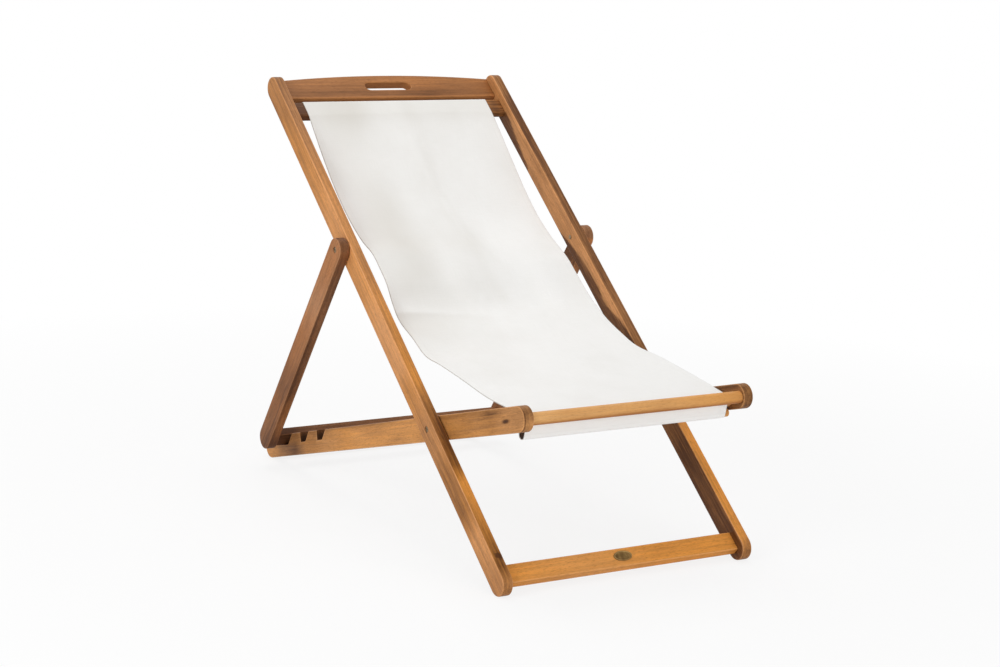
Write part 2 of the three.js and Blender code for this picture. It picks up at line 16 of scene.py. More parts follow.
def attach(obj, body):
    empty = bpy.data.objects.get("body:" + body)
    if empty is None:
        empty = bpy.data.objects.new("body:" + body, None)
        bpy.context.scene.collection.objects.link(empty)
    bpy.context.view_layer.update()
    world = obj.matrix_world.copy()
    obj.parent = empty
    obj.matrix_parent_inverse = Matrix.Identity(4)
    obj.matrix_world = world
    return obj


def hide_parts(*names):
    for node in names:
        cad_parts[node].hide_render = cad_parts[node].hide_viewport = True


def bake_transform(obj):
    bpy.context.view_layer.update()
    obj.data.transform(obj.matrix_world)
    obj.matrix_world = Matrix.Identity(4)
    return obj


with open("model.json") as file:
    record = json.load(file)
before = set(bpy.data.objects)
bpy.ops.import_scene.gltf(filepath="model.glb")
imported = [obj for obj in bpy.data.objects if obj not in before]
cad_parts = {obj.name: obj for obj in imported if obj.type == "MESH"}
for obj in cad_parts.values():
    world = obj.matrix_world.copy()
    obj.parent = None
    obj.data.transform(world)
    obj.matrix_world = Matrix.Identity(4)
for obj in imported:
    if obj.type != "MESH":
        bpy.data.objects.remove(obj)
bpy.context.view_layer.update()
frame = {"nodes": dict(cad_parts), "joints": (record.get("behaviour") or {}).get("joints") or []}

bl_info = {
    "name": "Sling deck chair",
    "version": (1, 0, 0),
    "blender": (4, 5, 0),
    "location": "View3D > Sidebar > Deck chair",
    "description": "Builds a folding deck chair of oiled hardwood with a canvas sling",
    "category": "Object",
}

MM = 0.001
SIDES = (("left", -1), ("right", 1))

# Rail stock
RAIL_RADIUS = 24.25 * MM
RAIL_THICKNESS = 21.5 * MM
RAIL_MIDDLE_DROP = 6 * MM
END_STEPS = 24
EASE_STEPS = 4
FACE_SHARES = np.linspace(0, 0.85, 6)
STATION_SPACING = 5 * MM
EDGE_MARGIN = 2.5 * MM
WELD = 0.002 * MM
CUTTER_EASE = 0.01 * MM
SHARP_ANGLE = 35
DRILL_PAST = 1 * MM

# Wood: parts of the ease where the edges' tone and their rubbed paleness, partly a painted
# highlight, set in, and a zone's soft line
EDGE_BLEND = 0.3
WEAR_AND_HIGHLIGHT_FROM = 0.45
ZONE_BLEND = 2 * MM

# Back frame, along its rails from the centre of its foot
BACK_OUTER = 280 * MM
BACK_INNER = BACK_OUTER - RAIL_THICKNESS
BACK_RUN = 1280 * MM
PIVOT_RUN = 355 * MM

# Seat frame, along its rails from the pivot, rearwards
SEAT_OUTER = BACK_INNER - 4 * MM
SEAT_INNER = SEAT_OUTER - RAIL_THICKNESS
SEAT_REAR = 783 * MM
SEAT_FRONT = -296 * MM
SEAT_ANGLE = math.radians(-16.40864)
NOTCHES = (  # place of the wall, length of the floor and of the ramp, depth
    (724.3 * MM, 36 * MM, 26 * MM, 23.25 * MM),
    (621.3 * MM, 22 * MM, 21 * MM, 21 * MM),
    (538.3 * MM, 22 * MM, 21 * MM, 21 * MM))
NOTCH_EASE = 0.9 * MM
NOTCH_CORNER = 0.8 * MM

# Prop, along its legs from its pivot
PROP_INNER = 281.5 * MM
PROP_OUTER = PROP_INNER + RAIL_THICKNESS
PROP_RUN = 565 * MM
PROP_ANGLE = math.radians(-55.59715)

# Cross members: start and end along the frame, then back and front levels
CROSS_HALF = BACK_INNER - 0.3 * MM
TOP_START = 1247.5 * MM
TOP_HEIGHT = 54.5 * MM
TOP_CROWN = 14 * MM
TOP_LEVELS = (-19 * MM, 1 * MM)
SLOT_RADIUS = 11.25 * MM
SLOT_HALF = 56 * MM - SLOT_RADIUS
SLOT_MIDDLE = TOP_START + 24 * MM + SLOT_RADIUS
SLING_BAR = ((1191.5 * MM, 1233.5 * MM), (-13 * MM, 5 * MM))
SLING_BAR_CORNER = 5 * MM
BOTTOM_RAIL = ((-6.5 * MM, 33.5 * MM), (-12 * MM, 6 * MM))
BOTTOM_RAIL_CORNER = 2.5 * MM
PROP_BAR = ((550 * MM, 585 * MM), (-10 * MM, 10 * MM))
PROP_BAR_CORNER = 2 * MM
CORNER_STEPS = 6

# Round bars: along the seat frame, level, radius
FRONT_DOWEL = (-304 * MM, -1.7 * MM, 12 * MM)
FRONT_BAR = (-270 * MM, -4 * MM, 12.5 * MM)
REAR_STRETCHER = (770 * MM, -8 * MM, 12 * MM)
ROUND_STEPS = 48
ROD_RADIUS = 8 * MM

# Oval plate
PLATE_HALF = (20 * MM, 11 * MM)
PLATE_ALONG = 15 * MM
PLATE_LEVEL = 6.3 * MM

# Sling
SHEET_THICKNESS = 1.2 * MM
STAND_OFF = 0.3 * MM + SHEET_THICKNESS / 2
SLING_HALF = SEAT_INNER - 8 * MM
ROD_HALF = SLING_HALF - 3 * MM
SLING_SAG = 130 * MM
SLING_OFFSETS = (-2 * MM, -4 * MM)
SIDE_HEM = 17 * MM
SPAN_STEPS = 220
FRONT_TURN_STEPS = 24
SPAN_SHARES = np.array([  # share of the span, then of the sag at the left and right edge
    (0.00, 0.000, 0.000), (0.05, 0.160, 0.130), (0.12, 0.370, 0.320), (0.20, 0.570, 0.530),
    (0.27, 0.680, 0.670), (0.33, 0.710, 0.730), (0.38, 0.674, 0.740), (0.42, 0.723, 0.750),
    (0.46, 0.802, 0.810), (0.50, 0.953, 0.870), (0.54, 1.048, 0.910), (0.60, 1.027, 0.920),
    (0.66, 1.012, 0.870), (0.72, 0.838, 0.780), (0.80, 0.626, 0.530), (0.88, 0.426, 0.310),
    (0.95, 0.194, 0.125), (1.00, 0.000, 0.000)])
# Places across the sheet from its edge, denser in the hems
HEM_COLUMNS = np.array((0, 0.6, 2, 6, 12, 16.4, 17.4, 19)) * MM
INNER_COLUMNS = np.linspace(22 * MM, 2 * SLING_HALF - 22 * MM, 52)
HEM_EXTRA = 0.8 * MM
EDGE_ROUNDING = 0.35 * MM
SEAM_REACH = (0.35 * MM, 0.8 * MM)
# Painted light: the shift that paints the front hem near white
HEM_PAINTED_LIGHT_SHIFT = -1.2

# Stage, and the camera's azimuth, tilt and roll, its lens and its sensor's width
FLOOR_REACH = 6.0
FLOOR_LEVEL = -0.2 * MM
FLOOR_SPECKLE = 0.985
SHADOW_REACH = (0.9, 2.2)
WHITE = (1, 1, 1, 1)
LIGHTS = (  # name, place, size and the setting that holds its power
    ("key_light", (-3.6, -1.2, 2.0), 2.0, "key_power"),
    ("fill_light", (0.3, -3.9, 0.8), 2.4, "fill_power"),
    ("top_light", (0.2, 1.1, 3.4), 2.2, "top_power"))
LIGHT_TARGET = np.array((0, 0, 0.4))
CAMERA_PLACE = (-2.18869, -3.64317, 1.24066)
CAMERA_ANGLES = (31.15, 11.40, 2.34)
CAMERA_LENS = (76.36, 36)
CAMERA_SHIFT = (0.0006, -0.0087)


class FrameAxes:
    """One frame's own axes: X across the chair, along its rails, and level square to them."""

    def __init__(self, origin, angle):
        self.origin = np.array(origin)
        self.ahead = np.array((math.cos(angle), math.sin(angle)))
        self.upward = np.array((-math.sin(angle), math.cos(angle)))

    def side(self, points):
        """(along, level) to (y, z): origin + along x ahead + level x upward."""
        points = np.asarray(points, float)
        return self.origin + points[..., :1] * self.ahead + points[..., 1:] * self.upward

    def place(self, points):
        """(x, along, level) to (x, y, z): x stays, the rest as in side."""
        points = np.asarray(points, float)
        return np.concatenate((points[..., :1], self.side(points[..., 1:])), axis=-1)

    def local(self, points):
        """(x, y, z) back to (x, along, level): the dot products with the two axes."""
        reach = points[:, 1:] - self.origin
        return joined(points[:, 0], reach @ self.ahead, reach @ self.upward)


joint_places = {joint["name"]: np.array(joint["pos_m"][1:]) for joint in frame["joints"]}
pivot_place = joint_places["seat_fold"]
back_direction = joint_places["prop_swing"] - pivot_place
back_angle = math.atan2(back_direction[1], back_direction[0])
back_ahead = back_direction / np.linalg.norm(back_direction)
back = FrameAxes(pivot_place - PIVOT_RUN * back_ahead, back_angle)
seat = FrameAxes(pivot_place, SEAT_ANGLE)
prop = FrameAxes(joint_places["prop_swing"], PROP_ANGLE)
PROP_PIVOT_RUN = float(np.linalg.norm(back_direction)) + PIVOT_RUN


# Outlines

def joined(*parts):
    """Numbers or arrays that broadcast, side by side as the parts of points."""
    return np.stack(np.broadcast_arrays(*parts), axis=-1)


def arc(centre, radius, start, end, steps):
    """Points centre + radius x (cos, sin) at even angles from start to end."""
    angle = np.linspace(start, end, steps + 1)
    return joined(centre[0] + radius * np.cos(angle), centre[1] + radius * np.sin(angle))


def stepped(keys, spacing):
    """A polyline through the keys, each stretch cut into even steps no longer than spacing."""
    keys = np.asarray(keys, float)
    lengths = np.linalg.norm(np.diff(keys, axis=0), axis=1)
    stretches = [np.linspace(a, b, max(1, math.ceil(length / spacing)), endpoint=False)
                 for a, b, length in zip(keys[:-1], keys[1:], lengths)]
    return np.concatenate(stretches + [keys[-1:]])


def softened(keys, by):
    """Each inner corner of a polyline becomes two points, moved by that much along its edges."""
    keys = np.asarray(keys, float)
    ahead = np.diff(keys, axis=0)
    ahead /= np.linalg.norm(ahead, axis=1, keepdims=True)
    inner = np.stack((keys[1:-1] - by * ahead[:-1], keys[1:-1] + by * ahead[1:]), axis=1)
    return np.concatenate((keys[:1], inner.reshape(-1, 2), keys[-1:]))


def notch_corners():
    """The four corners (along, level) of each notch, frontmost notch first: head of the ramp,
    floor's two ends and head of the wall."""
    wall, floor, ramp, depth = np.array(NOTCHES)[::-1].T
    along = joined(wall - floor - ramp, wall - floor, wall, wall)
    return joined(along, RAIL_RADIUS - depth[:, None] * np.array((0, 1, 1, 0)))


def notch_reach(points):
    """How far each (along, level) is from the notches' nearest line from a to b: the distance to
    a + (b - a) clip((p - a).(b - a) / |b - a|^2, 0, 1)."""
    corners = notch_corners()
    first = corners[:, :-1].reshape(-1, 2)
    step = corners[:, 1:].reshape(-1, 2) - first
    away = points[:, None] - first
    share = np.clip(np.sum(away * step, axis=-1) / np.sum(step ** 2, axis=-1), 0, 1)
    return np.linalg.norm(away - share[..., None] * step, axis=-1).min(axis=1)


def rail_outline(start, end, notched=False):
    """Anticlockwise loop of a rail: lower edge, half-round end, upper edge with its notches, and
    half-round start. Upper and lower points share their places along the rail."""
    cuts = notch_corners().reshape(-1, 2).tolist() if notched else []
    keys = [(start, RAIL_RADIUS)] + cuts + [(end, RAIL_RADIUS)]
    upper = stepped(softened(keys, NOTCH_CORNER), STATION_SPACING)
    upper[:, 0] = np.round(upper[:, 0], 7)
    lower = joined(np.unique(upper[:, 0]), -RAIL_RADIUS)
    half = math.pi / 2
    return np.concatenate((
        lower, arc((end, 0), RAIL_RADIUS, -half, half, END_STEPS)[1:-1],
        upper[::-1], arc((start, 0), RAIL_RADIUS, half, 3 * half, END_STEPS)[1:-1]))


def rounded_rectangle(width, height, corner):
    """Anticlockwise loop of a rectangle whose corners are quarter circles."""
    (left, right), (low, high) = width, height
    quarter = math.pi / 2
    centres = ((right - corner, low + corner), (right - corner, high - corner),
               (left + corner, high - corner), (left + corner, low + corner))
    turns = [arc(centre, corner, (turn - 1) * quarter, turn * quarter, CORNER_STEPS)
             for turn, centre in enumerate(centres)]
    return np.concatenate(turns)


def circle(centre, radius):
    """Anticlockwise loop of a circle."""
    return arc(centre, radius, 0, 2 * math.pi, ROUND_STEPS)[:-1]


def inward(outline):
    """At each point of an anticlockwise loop, the step that moves both of its edges inwards by
    one: (n1 + n2) / (1 + n1.n2), from the edges' inward normals."""
    ahead = np.roll(outline, -1, axis=0) - outline
    ahead /= np.linalg.norm(ahead, axis=1, keepdims=True)
    after = joined(-ahead[:, 1], ahead[:, 0])
    before = np.roll(after, 1, axis=0)
    return (after + before) / (1 + np.sum(after * before, axis=1, keepdims=True))


# Surfaces

def grid_faces(rows, columns, closed_rows=False):
    """Quads between neighbours of a grid of points whose columns close round; closed_rows joins
    the last row to the first as well."""
    column = np.arange(columns)
    row = columns * np.arange(rows if closed_rows else rows - 1)[:, None]
    after, below = (column + 1) % columns, (row + columns) % (rows * columns)
    return joined(row + column, row + after, below + after, below + column).reshape(-1, 4)


def quarter_turn():
    """Even angles over a quarter circle, down the first of three axes."""
    return np.linspace(0, math.pi / 2, EASE_STEPS + 1)[:, None, None]


def eased_slab(outline, middle, ease, span, side_rows):
    """Grid of (depth, a, b) over a slab of the outline between two depths. Each face runs from
    its middle line to the outline moved in by ease, the rim is a quarter circle of that radius
    (depth e - e cos t, inset e - e sin t), and the side goes straight across."""
    low, high = span
    count = len(outline)
    ease = np.broadcast_to(ease, count)[None, :, None]
    step = inward(outline)[None]
    turn = quarter_turn()
    face = middle + FACE_SHARES[:, None, None] * (outline + step * ease - middle)
    rim = outline + step * (ease - ease * np.sin(turn))
    flat_depth = np.zeros((len(FACE_SHARES), count))
    low_depth = np.concatenate((flat_depth, (ease - ease * np.cos(turn))[..., 0]))
    side_depth = np.broadcast_to(np.asarray(side_rows)[:, None], (len(side_rows), count)) - low
    side = np.broadcast_to(outline, (len(side_rows), count, 2))
    near = np.concatenate((face, rim))
    depth = np.concatenate((low_depth, side_depth, high - low - low_depth[::-1]))
    plane = np.concatenate((near, side, near[::-1]))
    return np.concatenate((low + depth[..., None], plane), axis=-1)


def even_rows(span, ease, spacing=math.inf):
    """Two rows or more on the side, the outer two a little in from each rim."""
    count = max(2, round((span[1] - span[0]) / spacing))
    return np.linspace(span[0] + ease + EDGE_MARGIN, span[1] - ease - EDGE_MARGIN, count)


def put_in_scene(name, data):
    """A new object that shows the given data."""
    made = bpy.data.objects.new(name, data)
    bpy.context.scene.collection.objects.link(made)
    return made


def solid(name, grid, sharp_angle=SHARP_ANGLE, closed_rows=False):
    """A closed mesh object over a grid of points, its doubles merged."""
    faces = grid_faces(*grid.shape[:2], closed_rows)
    return closed_mesh(name, grid, faces, sharp_angle, merged=True)


def closed_mesh(name, points, faces, sharp_angle, merged):
    """A mesh object with its faces outwards, smooth but for sharp edges."""
    mesh = bpy.data.meshes.new(name)
    mesh.from_pydata(points.reshape(-1, 3), [], faces)
    work = bmesh.new()
    work.from_mesh(mesh)
    if merged:
        bmesh.ops.remove_doubles(work, verts=work.verts, dist=WELD)
        bmesh.ops.dissolve_degenerate(work, edges=work.edges, dist=WELD)
    bmesh.ops.recalc_face_normals(work, faces=work.faces)
    work.to_mesh(mesh)
    work.free()
    shade(mesh, sharp_angle)
    return put_in_scene(name, mesh)


def shade(mesh, sharp_angle):
    """Smooth shading, sharp at edges that turn by more than the angle."""
    mesh.shade_smooth()
    mesh.set_sharp_from_angle(angle=math.radians(sharp_angle))


def drill(piece, axes, side, holes):
    """Takes round holes along X out of a piece: each is (near, far, along, radius)."""
    cutters = []
    for near, far, along, radius in holes:
        span = across(side, near, far)
        grid = eased_slab(circle((along, 0), radius), np.array((along, 0)), CUTTER_EASE, span,
                          np.linspace(*span, 4)[1:-1])
        cutters.append(solid("cutter", axes.place(grid)))
        modifier = piece.modifiers.new("hole", "BOOLEAN")
        modifier.operation = "DIFFERENCE"
        modifier.solver = "EXACT"
        modifier.object = cutters[-1]
    graph = bpy.context.evaluated_depsgraph_get()
    result = bpy.data.meshes.new_from_object(piece.evaluated_get(graph))
    piece.modifiers.clear()
    rough, piece.data = piece.data, result
    bpy.data.meshes.remove(rough)
    for cutter in cutters:
        bpy.data.meshes.remove(cutter.data)
    shade(piece.data, SHARP_ANGLE)


def vertices(piece):
    """The piece's points as one array."""
    flat = np.empty(len(piece.data.vertices) * 3)
    piece.data.vertices.foreach_get("co", flat)
    return flat.reshape(-1, 3)


def put_attribute(piece, name, values):
    """Stores a number or a vector for each point of the piece."""
    values = np.asarray(values, float)
    kind, field = ("FLOAT_VECTOR", "vector") if values.ndim == 2 else ("FLOAT", "value")
    piece.data.attributes.new(name, kind, "POINT").data.foreach_set(field, values.ravel())


def smooth_step(low, high, values):
    """0 below low, 1 above high, and 3t^2 - 2t^3 between."""
    t = np.clip((values - low) / (high - low), 0, 1)
    return t * t * (3 - 2 * t)


def finish_wood(piece, axes, order, offset, tones, reaches, ease, body, node, slot,
                patches=(), zones=()):
    """Gives a wooden piece its grain coordinates, tone, gold and worn edges, paled partly as a
    painted highlight, and puts it on its body. order says which local axes are across, along and
    level to the grain. reaches gives each point's distance from the side faces and from the edge
    faces, and how much darker its end grain is; inside the notches that darkening is painted
    shade. tones are stops along the grain in hundredths: (place, tone, gold) of the side faces,
    then tone and gold of the edge faces where these differ. Tone goes from light at 0 over dark at
    1 to knots at 2, a colour that also paints the shade in notches and at some bar ends. A patch
    is (centre, reach, change), and adds change x exp(-(distance / reach)^2). A zone is (x, line,
    change), and adds change to the face at x where its level is under the line's."""
    local = axes.local(vertices(piece))
    grain = local[:, order]
    from_side, from_edge, end_grain_and_notch_shade, _ = np.broadcast_arrays(*reaches(local), local[:, 0])
    stops = np.array([(*stop, *stop[1:])[:5] for stop in tones]).T / 100
    side_tone, side_gold, edge_tone, edge_gold = (
        np.interp(grain[:, 1], stops[0], row) for row in stops[1:])
    edge = smooth_step(-EDGE_BLEND * ease, EDGE_BLEND * ease, from_side - from_edge)
    tone = side_tone + edge * (edge_tone - side_tone + end_grain_and_notch_shade)
    for centre, reach, change in patches:
        tone = tone + change * np.exp(-np.sum(((local - centre) / reach) ** 2, axis=1))
    for x, line, change in zones:
        below = np.interp(local[:, 1], *np.array(line).T) - local[:, 2]
        on_face = np.abs(local[:, 0] - x) < ZONE_BLEND
        tone = tone + change * smooth_step(-ZONE_BLEND, ZONE_BLEND, below) * on_face
    put_attribute(piece, "tone", tone)
    put_attribute(piece, "gold", side_gold + edge * (edge_gold - side_gold))
    from_both = np.maximum(from_side, from_edge)
    put_attribute(piece, "wear", 1 - smooth_step(WEAR_AND_HIGHLIGHT_FROM * ease, ease, from_both))
    put_attribute(piece, "grain", grain + np.asarray(offset))
    wood = material_once(slot + "_grain", make_wood, getattr(settings(), slot))
    finish(piece, body, node, wood)


def finish(piece, body, node, material):
    """Sets the material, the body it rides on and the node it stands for."""
    piece.data.materials.clear()
    piece.data.materials.append(material)
    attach(piece, body)
    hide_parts(node)


# Materials

class Shader:
    """The node tree of a material or of the world."""

    def __init__(self, owner, surface="Principled BSDF"):
        self.owner = owner
        owner.use_nodes = True
        self.tree = owner.node_tree
        self.surface = self.tree.nodes[surface]

    def node(self, kind, options=(), **inputs):
        """A new node. Its inputs are given by name, or by number after an underscore."""
        made = self.tree.nodes.new("ShaderNode" + kind)
        for key, value in dict(options).items():
            setattr(made, key, value)
        for key, value in inputs.items():
            place = int(key[1:]) if key[0] == "_" else key.replace("_", " ")
            self.put(made.inputs[place], value)
        return made

    def put(self, socket, value):
        """Links another node's output to the socket, or sets its value."""
        if isinstance(value, bpy.types.NodeSocket):
            self.tree.links.new(value, socket)
        else:
            socket.default_value = value

    def math(self, operation, first, second=0.0, third=0.0):
        made = self.node("Math", {"operation": operation}, _0=first, _1=second, _2=third)
        return made.outputs[0]

    def clamped(self, value, low, high, start=0.0, end=1.0):
        """From start at low to end at high, and no further."""
        return self.node("MapRange", {"clamp": True}, Value=value, From_Min=low, From_Max=high,
                         To_Min=start, To_Max=end).outputs[0]

    def scaled(self, vector, scale):
        return self.node("VectorMath", {"operation": "MULTIPLY"}, _0=vector, _1=scale).outputs[0]

    def noise(self, vector, stretch, detail=2.0, roughness=0.5):
        return self.node("TexNoise", Vector=self.scaled(vector, stretch), Scale=1.0, Detail=detail,
                         Roughness=roughness).outputs[0]

    def attribute(self, name, output):
        return self.node("Attribute", {"attribute_name": name}).outputs[output]

    def mix(self, factor, first, second):
        made = self.node("Mix", {"data_type": "RGBA"}, _0=factor, _6=first, _7=(*second, 1))
        return made.outputs[2]

    def bump(self, height, distance, strength=1.0, under=None):
        made = self.node("Bump", Strength=strength, Distance=distance, Height=height)
        if under is not None:
            self.put(made.inputs["Normal"], under)
        return made.outputs[0]

    def finish(self, **inputs):
        """Sets the surface's inputs, and gives back the material or the world."""
        for key, value in inputs.items():
            self.put(self.surface.inputs[key.replace("_", " ")], value)
        return self.owner


def settings():
    """The add-on's settings."""
    return bpy.context.scene.deck_chair


def material_once(name, build, *given):
    """The material of that name, built the first time it is asked for."""
    made = bpy.data.materials.get(name)
    return made or build(Shader(bpy.data.materials.new(name)), *given)


def make_wood(shader, look):
    """Growth rings round an off-centre heart, streaked fibres, flecks, short dark pores and slow
    shifts of colour, all drawn out along the grain; edges are paler and smoother, partly as rubbed
    wood and partly as a painted highlight along the arrises."""
    grain = shader.attribute("grain", "Vector")
    tone, gold, wear = (shader.attribute(name, "Fac") for name in ("tone", "gold", "wear"))
    slow = shader.noise(grain, (30, 7, 30), detail=3)
    streak = shader.noise(grain, (260, 6, 260), detail=4, roughness=0.65)
    fleck = shader.noise(grain, (520, 75, 520), roughness=0.6)
    fibre = shader.noise(grain, (1500, 45, 1500), roughness=0.6)
    pore = shader.noise(grain, (1700, 110, 1700), detail=1)
    rings = shader.node("TexWave", {"wave_type": "RINGS", "rings_direction": "Y",
                                    "wave_profile": "SAW"},
                        Vector=shader.scaled(grain, (1, 0.05, 1)), Scale=34.0, Distortion=5.0,
                        Detail=3.0, Detail_Scale=2.2, Detail_Roughness=0.55).outputs[1]
    depth = tone
    for pattern, low, high, least, most in (
            (slow, 0.3, 0.7, -0.12, 0.12), (streak, 0.3, 0.7, -0.13, 0.13),
            (rings, 0.0, 1.0, -0.06, 0.08), (fibre, 0.3, 0.7, -0.08, 0.08)):
        depth = shader.math("ADD", depth, shader.clamped(pattern, low, high, least, most))
    # Edges are paled and smoothed: partly rubbed wood, partly a painted highlight along the arrises
    depth = shader.math("MULTIPLY_ADD", wear, -0.3, depth)
    golden = shader.math("ADD", gold, shader.clamped(streak, 0.3, 0.7, 0.2, -0.2))
    golden = shader.math("SUBTRACT", golden, wear)
    colour = shader.mix(shader.clamped(golden, 0, 1), (*look.light, 1), look.gold)
    colour = shader.mix(shader.clamped(depth, 0, 1), colour, look.dark)
    # Past 1.25 the tone runs to the colour of knots, which also paints the shade in notches and at
    # some bar ends
    colour = shader.mix(shader.clamped(depth, 1.25, 2.1), colour, look.knot_and_shade)
    flecks = shader.clamped(fleck, 0.56, 0.72, 0.0, 0.36)
    pores = shader.clamped(pore, 0.60, 0.70, 0.0, 0.4)
    colour = shader.mix(shader.math("MAXIMUM", flecks, pores), colour, look.pore)
    rough = shader.clamped(fibre, 0.2, 0.8, look.roughness - 0.07, look.roughness + 0.1)
    rough = shader.math("MULTIPLY_ADD", wear, -0.1, rough)
    relief = shader.math("MULTIPLY_ADD", pores, -2.0, fibre)
    normal = shader.bump(relief, 0.12 * MM, 0.35)
    normal = shader.bump(streak, 0.5 * MM, 0.25, under=normal)
    return shader.finish(Base_Color=colour, Roughness=rough, Specular_IOR_Level=0.15, Normal=normal)


def make_canvas(shader, look):
    """Plain weave of thick and thin threads on the sling's own (across, along) coordinates, with
    a row of stitches inside each side hem and across each rod's pocket."""
    def wave(distance, length):
        return shader.math("SINE", shader.math("MULTIPLY", distance, 2 * math.pi / length))

    def stitched(distance, seam_at, beside):
        """The seam's line and the threads that show along it."""
        away = shader.math("ABSOLUTE", shader.math("SUBTRACT", distance, seam_at))
        line = shader.clamped(away, *SEAM_REACH, 1, 0)
        dashes = shader.clamped(wave(beside, look.stitch_length), -0.3, 0.2)
        return line, shader.math("MULTIPLY", line, dashes)
    place = shader.attribute("cloth", "Vector")
    across_at, along, hem = shader.node("SeparateXYZ", Vector=place).outputs
    from_middle = shader.math("ABSOLUTE", across_at)
    weave = shader.math("MULTIPLY", wave(across_at, 2 * look.thread_pitch),
                        wave(along, 2 * look.thread_pitch))
    threads = shader.math("ADD", shader.noise(place, (1600, 30, 0), detail=1),
                          shader.noise(place, (30, 1600, 0), detail=1))
    slow = shader.noise(place, (9, 6, 0), detail=3)
    height = shader.math("MULTIPLY_ADD", threads, 0.5, shader.math("MULTIPLY", weave, 0.35))
    side_line, side_thread = stitched(from_middle, look.side_stitch, along)
    pocket_line, pocket_thread = stitched(hem, look.pocket_stitch, across_at)
    thread = shader.math("ADD", side_thread, pocket_thread)
    seam = shader.math("MAXIMUM", side_line, pocket_line)
    # The cloth's stain attribute is painted shade and light of the folds and painted light on the
    # front hem; the slow noise adds random mottling
    stain = shader.math("ADD", shader.attribute("stain", "Fac"),
                        shader.clamped(slow, 0.35, 0.7, -0.06, 0.1))
    # Painted shade: a thin darker line along the sling's side edges
    edge = shader.clamped(from_middle, SLING_HALF - 1.4 * MM, SLING_HALF - 0.3 * MM, 0, 0.6)
    colour = shader.mix(shader.clamped(threads, 0.7, 1.3), (*look.light, 1), look.dark)
    for share, tint in ((shader.clamped(stain, 0, 1), look.mottle_and_painted_shade),
                        (shader.clamped(stain, -1, -0.2, 1, 0), look.hem_painted_light),
                        (shader.math("MULTIPLY", seam, 0.12), look.thread), (edge, look.edge)):
        colour = shader.mix(share, colour, tint)
    normal = shader.bump(height, 0.25 * MM, 0.35)
    stitches = shader.math("MULTIPLY_ADD", seam, -1.0, shader.math("MULTIPLY", thread, 1.6))
    normal = shader.bump(stitches, 0.5 * MM, 0.15, under=normal)
    return shader.finish(Base_Color=colour, Roughness=0.88, Specular_IOR_Level=0.25,
                         Sheen_Weight=0.12, Sheen_Roughness=0.5, Normal=normal)


def make_metal(shader, colour, stain, roughness, scratches):
    """Metal with fine scratches and a slow stain, on Object coordinates."""
    place = shader.node("TexCoord").outputs["Object"]
    polished = shader.attribute("wear", "Fac")
    slow = shader.noise(place, (90, 90, 90), detail=4)
    fine = shader.noise(place, scratches)
    stained = shader.math("MULTIPLY_ADD", polished, -0.9, shader.clamped(slow, 0.35, 0.65, 0.2, 1))
    tint = shader.mix(shader.clamped(stained, 0, 1), (*colour, 1), stain)
    rough = shader.clamped(fine, 0.3, 0.7, roughness - 0.08, roughness + 0.12)
    return shader.finish(Base_Color=tint, Metallic=1.0, Roughness=rough,
                         Normal=shader.bump(fine, 0.05 * MM, 0.3))


def metal_material(name, kind, scratches):
    """Brass or steel of the metal settings."""
    look = [getattr(settings().metal, kind + part) for part in ("", "_stain", "_roughness")]
    return material_once(name, make_metal, *look, scratches)


# Settings

def srgb(red, green, blue):
    """A colour written 0 to 255, as the linear values that shaders take."""
    share = np.array((red, green, blue)) / 255
    return tuple(np.where(share <= 0.04045, share / 12.92, ((share + 0.055) / 1.055) ** 2.4))


def colour_setting(name, description, *rgb):
    return FloatVectorProperty(name=name, description=description, subtype="COLOR", size=3,
                               default=srgb(*rgb), min=0, max=1)


def share_setting(name, description, default):
    return FloatProperty(name=name, description=description, default=default, min=0, max=1,
                         subtype="FACTOR")


def length_setting(name, description, default):
    return FloatProperty(name=name, description=description, default=default, min=0,
                         unit="LENGTH", subtype="DISTANCE")


def light_grain(*rgb):
    return colour_setting("Light grain", "Colour of the pale early wood", *rgb)


def golden_grain(*rgb):
    return colour_setting("Golden grain", "Colour of the golden streaks", *rgb)


def dark_grain(*rgb):
    return colour_setting("Dark grain", "Colour of the dark late wood", *rgb)


# Colour of knots, also used as painted shade deep in the notches and at dark bar ends
def knot_and_shade_colour(*rgb):
    return colour_setting("Knots", "Colour of knots and of deep end grain", *rgb)


def pore_colour(*rgb):
    return colour_setting("Pores", "Colour of the flecks and the short dark pores", *rgb)


def dullness(share):
    return share_setting("Roughness", "How dull the oiled surface is", share)


class HoneyWood(PropertyGroup):
    light: light_grain(226, 161, 104)
    gold: golden_grain(240, 160, 72)
    dark: dark_grain(92, 55, 26)
    knot_and_shade: knot_and_shade_colour(40, 24, 12)
    pore: pore_colour(88, 50, 24)
    roughness: dullness(0.5)


class GoldenWood(PropertyGroup):
    light: light_grain(232, 165, 96)
    gold: golden_grain(240, 160, 70)
    dark: dark_grain(124, 72, 28)
    knot_and_shade: knot_and_shade_colour(40, 24, 12)
    pore: pore_colour(122, 66, 26)
    roughness: dullness(0.5)


class BrownWood(PropertyGroup):
    light: light_grain(180, 121, 72)
    gold: golden_grain(194, 124, 62)
    dark: dark_grain(86, 51, 24)
    knot_and_shade: knot_and_shade_colour(40, 24, 12)
    pore: pore_colour(72, 42, 20)
    roughness: dullness(0.55)


class RedWood(PropertyGroup):
    light: light_grain(184, 132, 92)
    gold: golden_grain(192, 126, 74)
    dark: dark_grain(92, 56, 32)
    knot_and_shade: knot_and_shade_colour(40, 24, 12)
    pore: pore_colour(76, 46, 28)
    roughness: dullness(0.55)


class PaleWood(PropertyGroup):
    light: light_grain(234, 182, 120)
    gold: golden_grain(236, 168, 88)
    dark: dark_grain(176, 114, 58)
    knot_and_shade: knot_and_shade_colour(40, 24, 12)
    pore: pore_colour(160, 100, 52)
    roughness: dullness(0.5)


class SeatWood(PropertyGroup):
    light: light_grain(224, 162, 102)
    gold: golden_grain(232, 158, 76)
    dark: dark_grain(92, 56, 28)
    knot_and_shade: knot_and_shade_colour(40, 24, 12)
    pore: pore_colour(92, 54, 28)
    roughness: dullness(0.52)


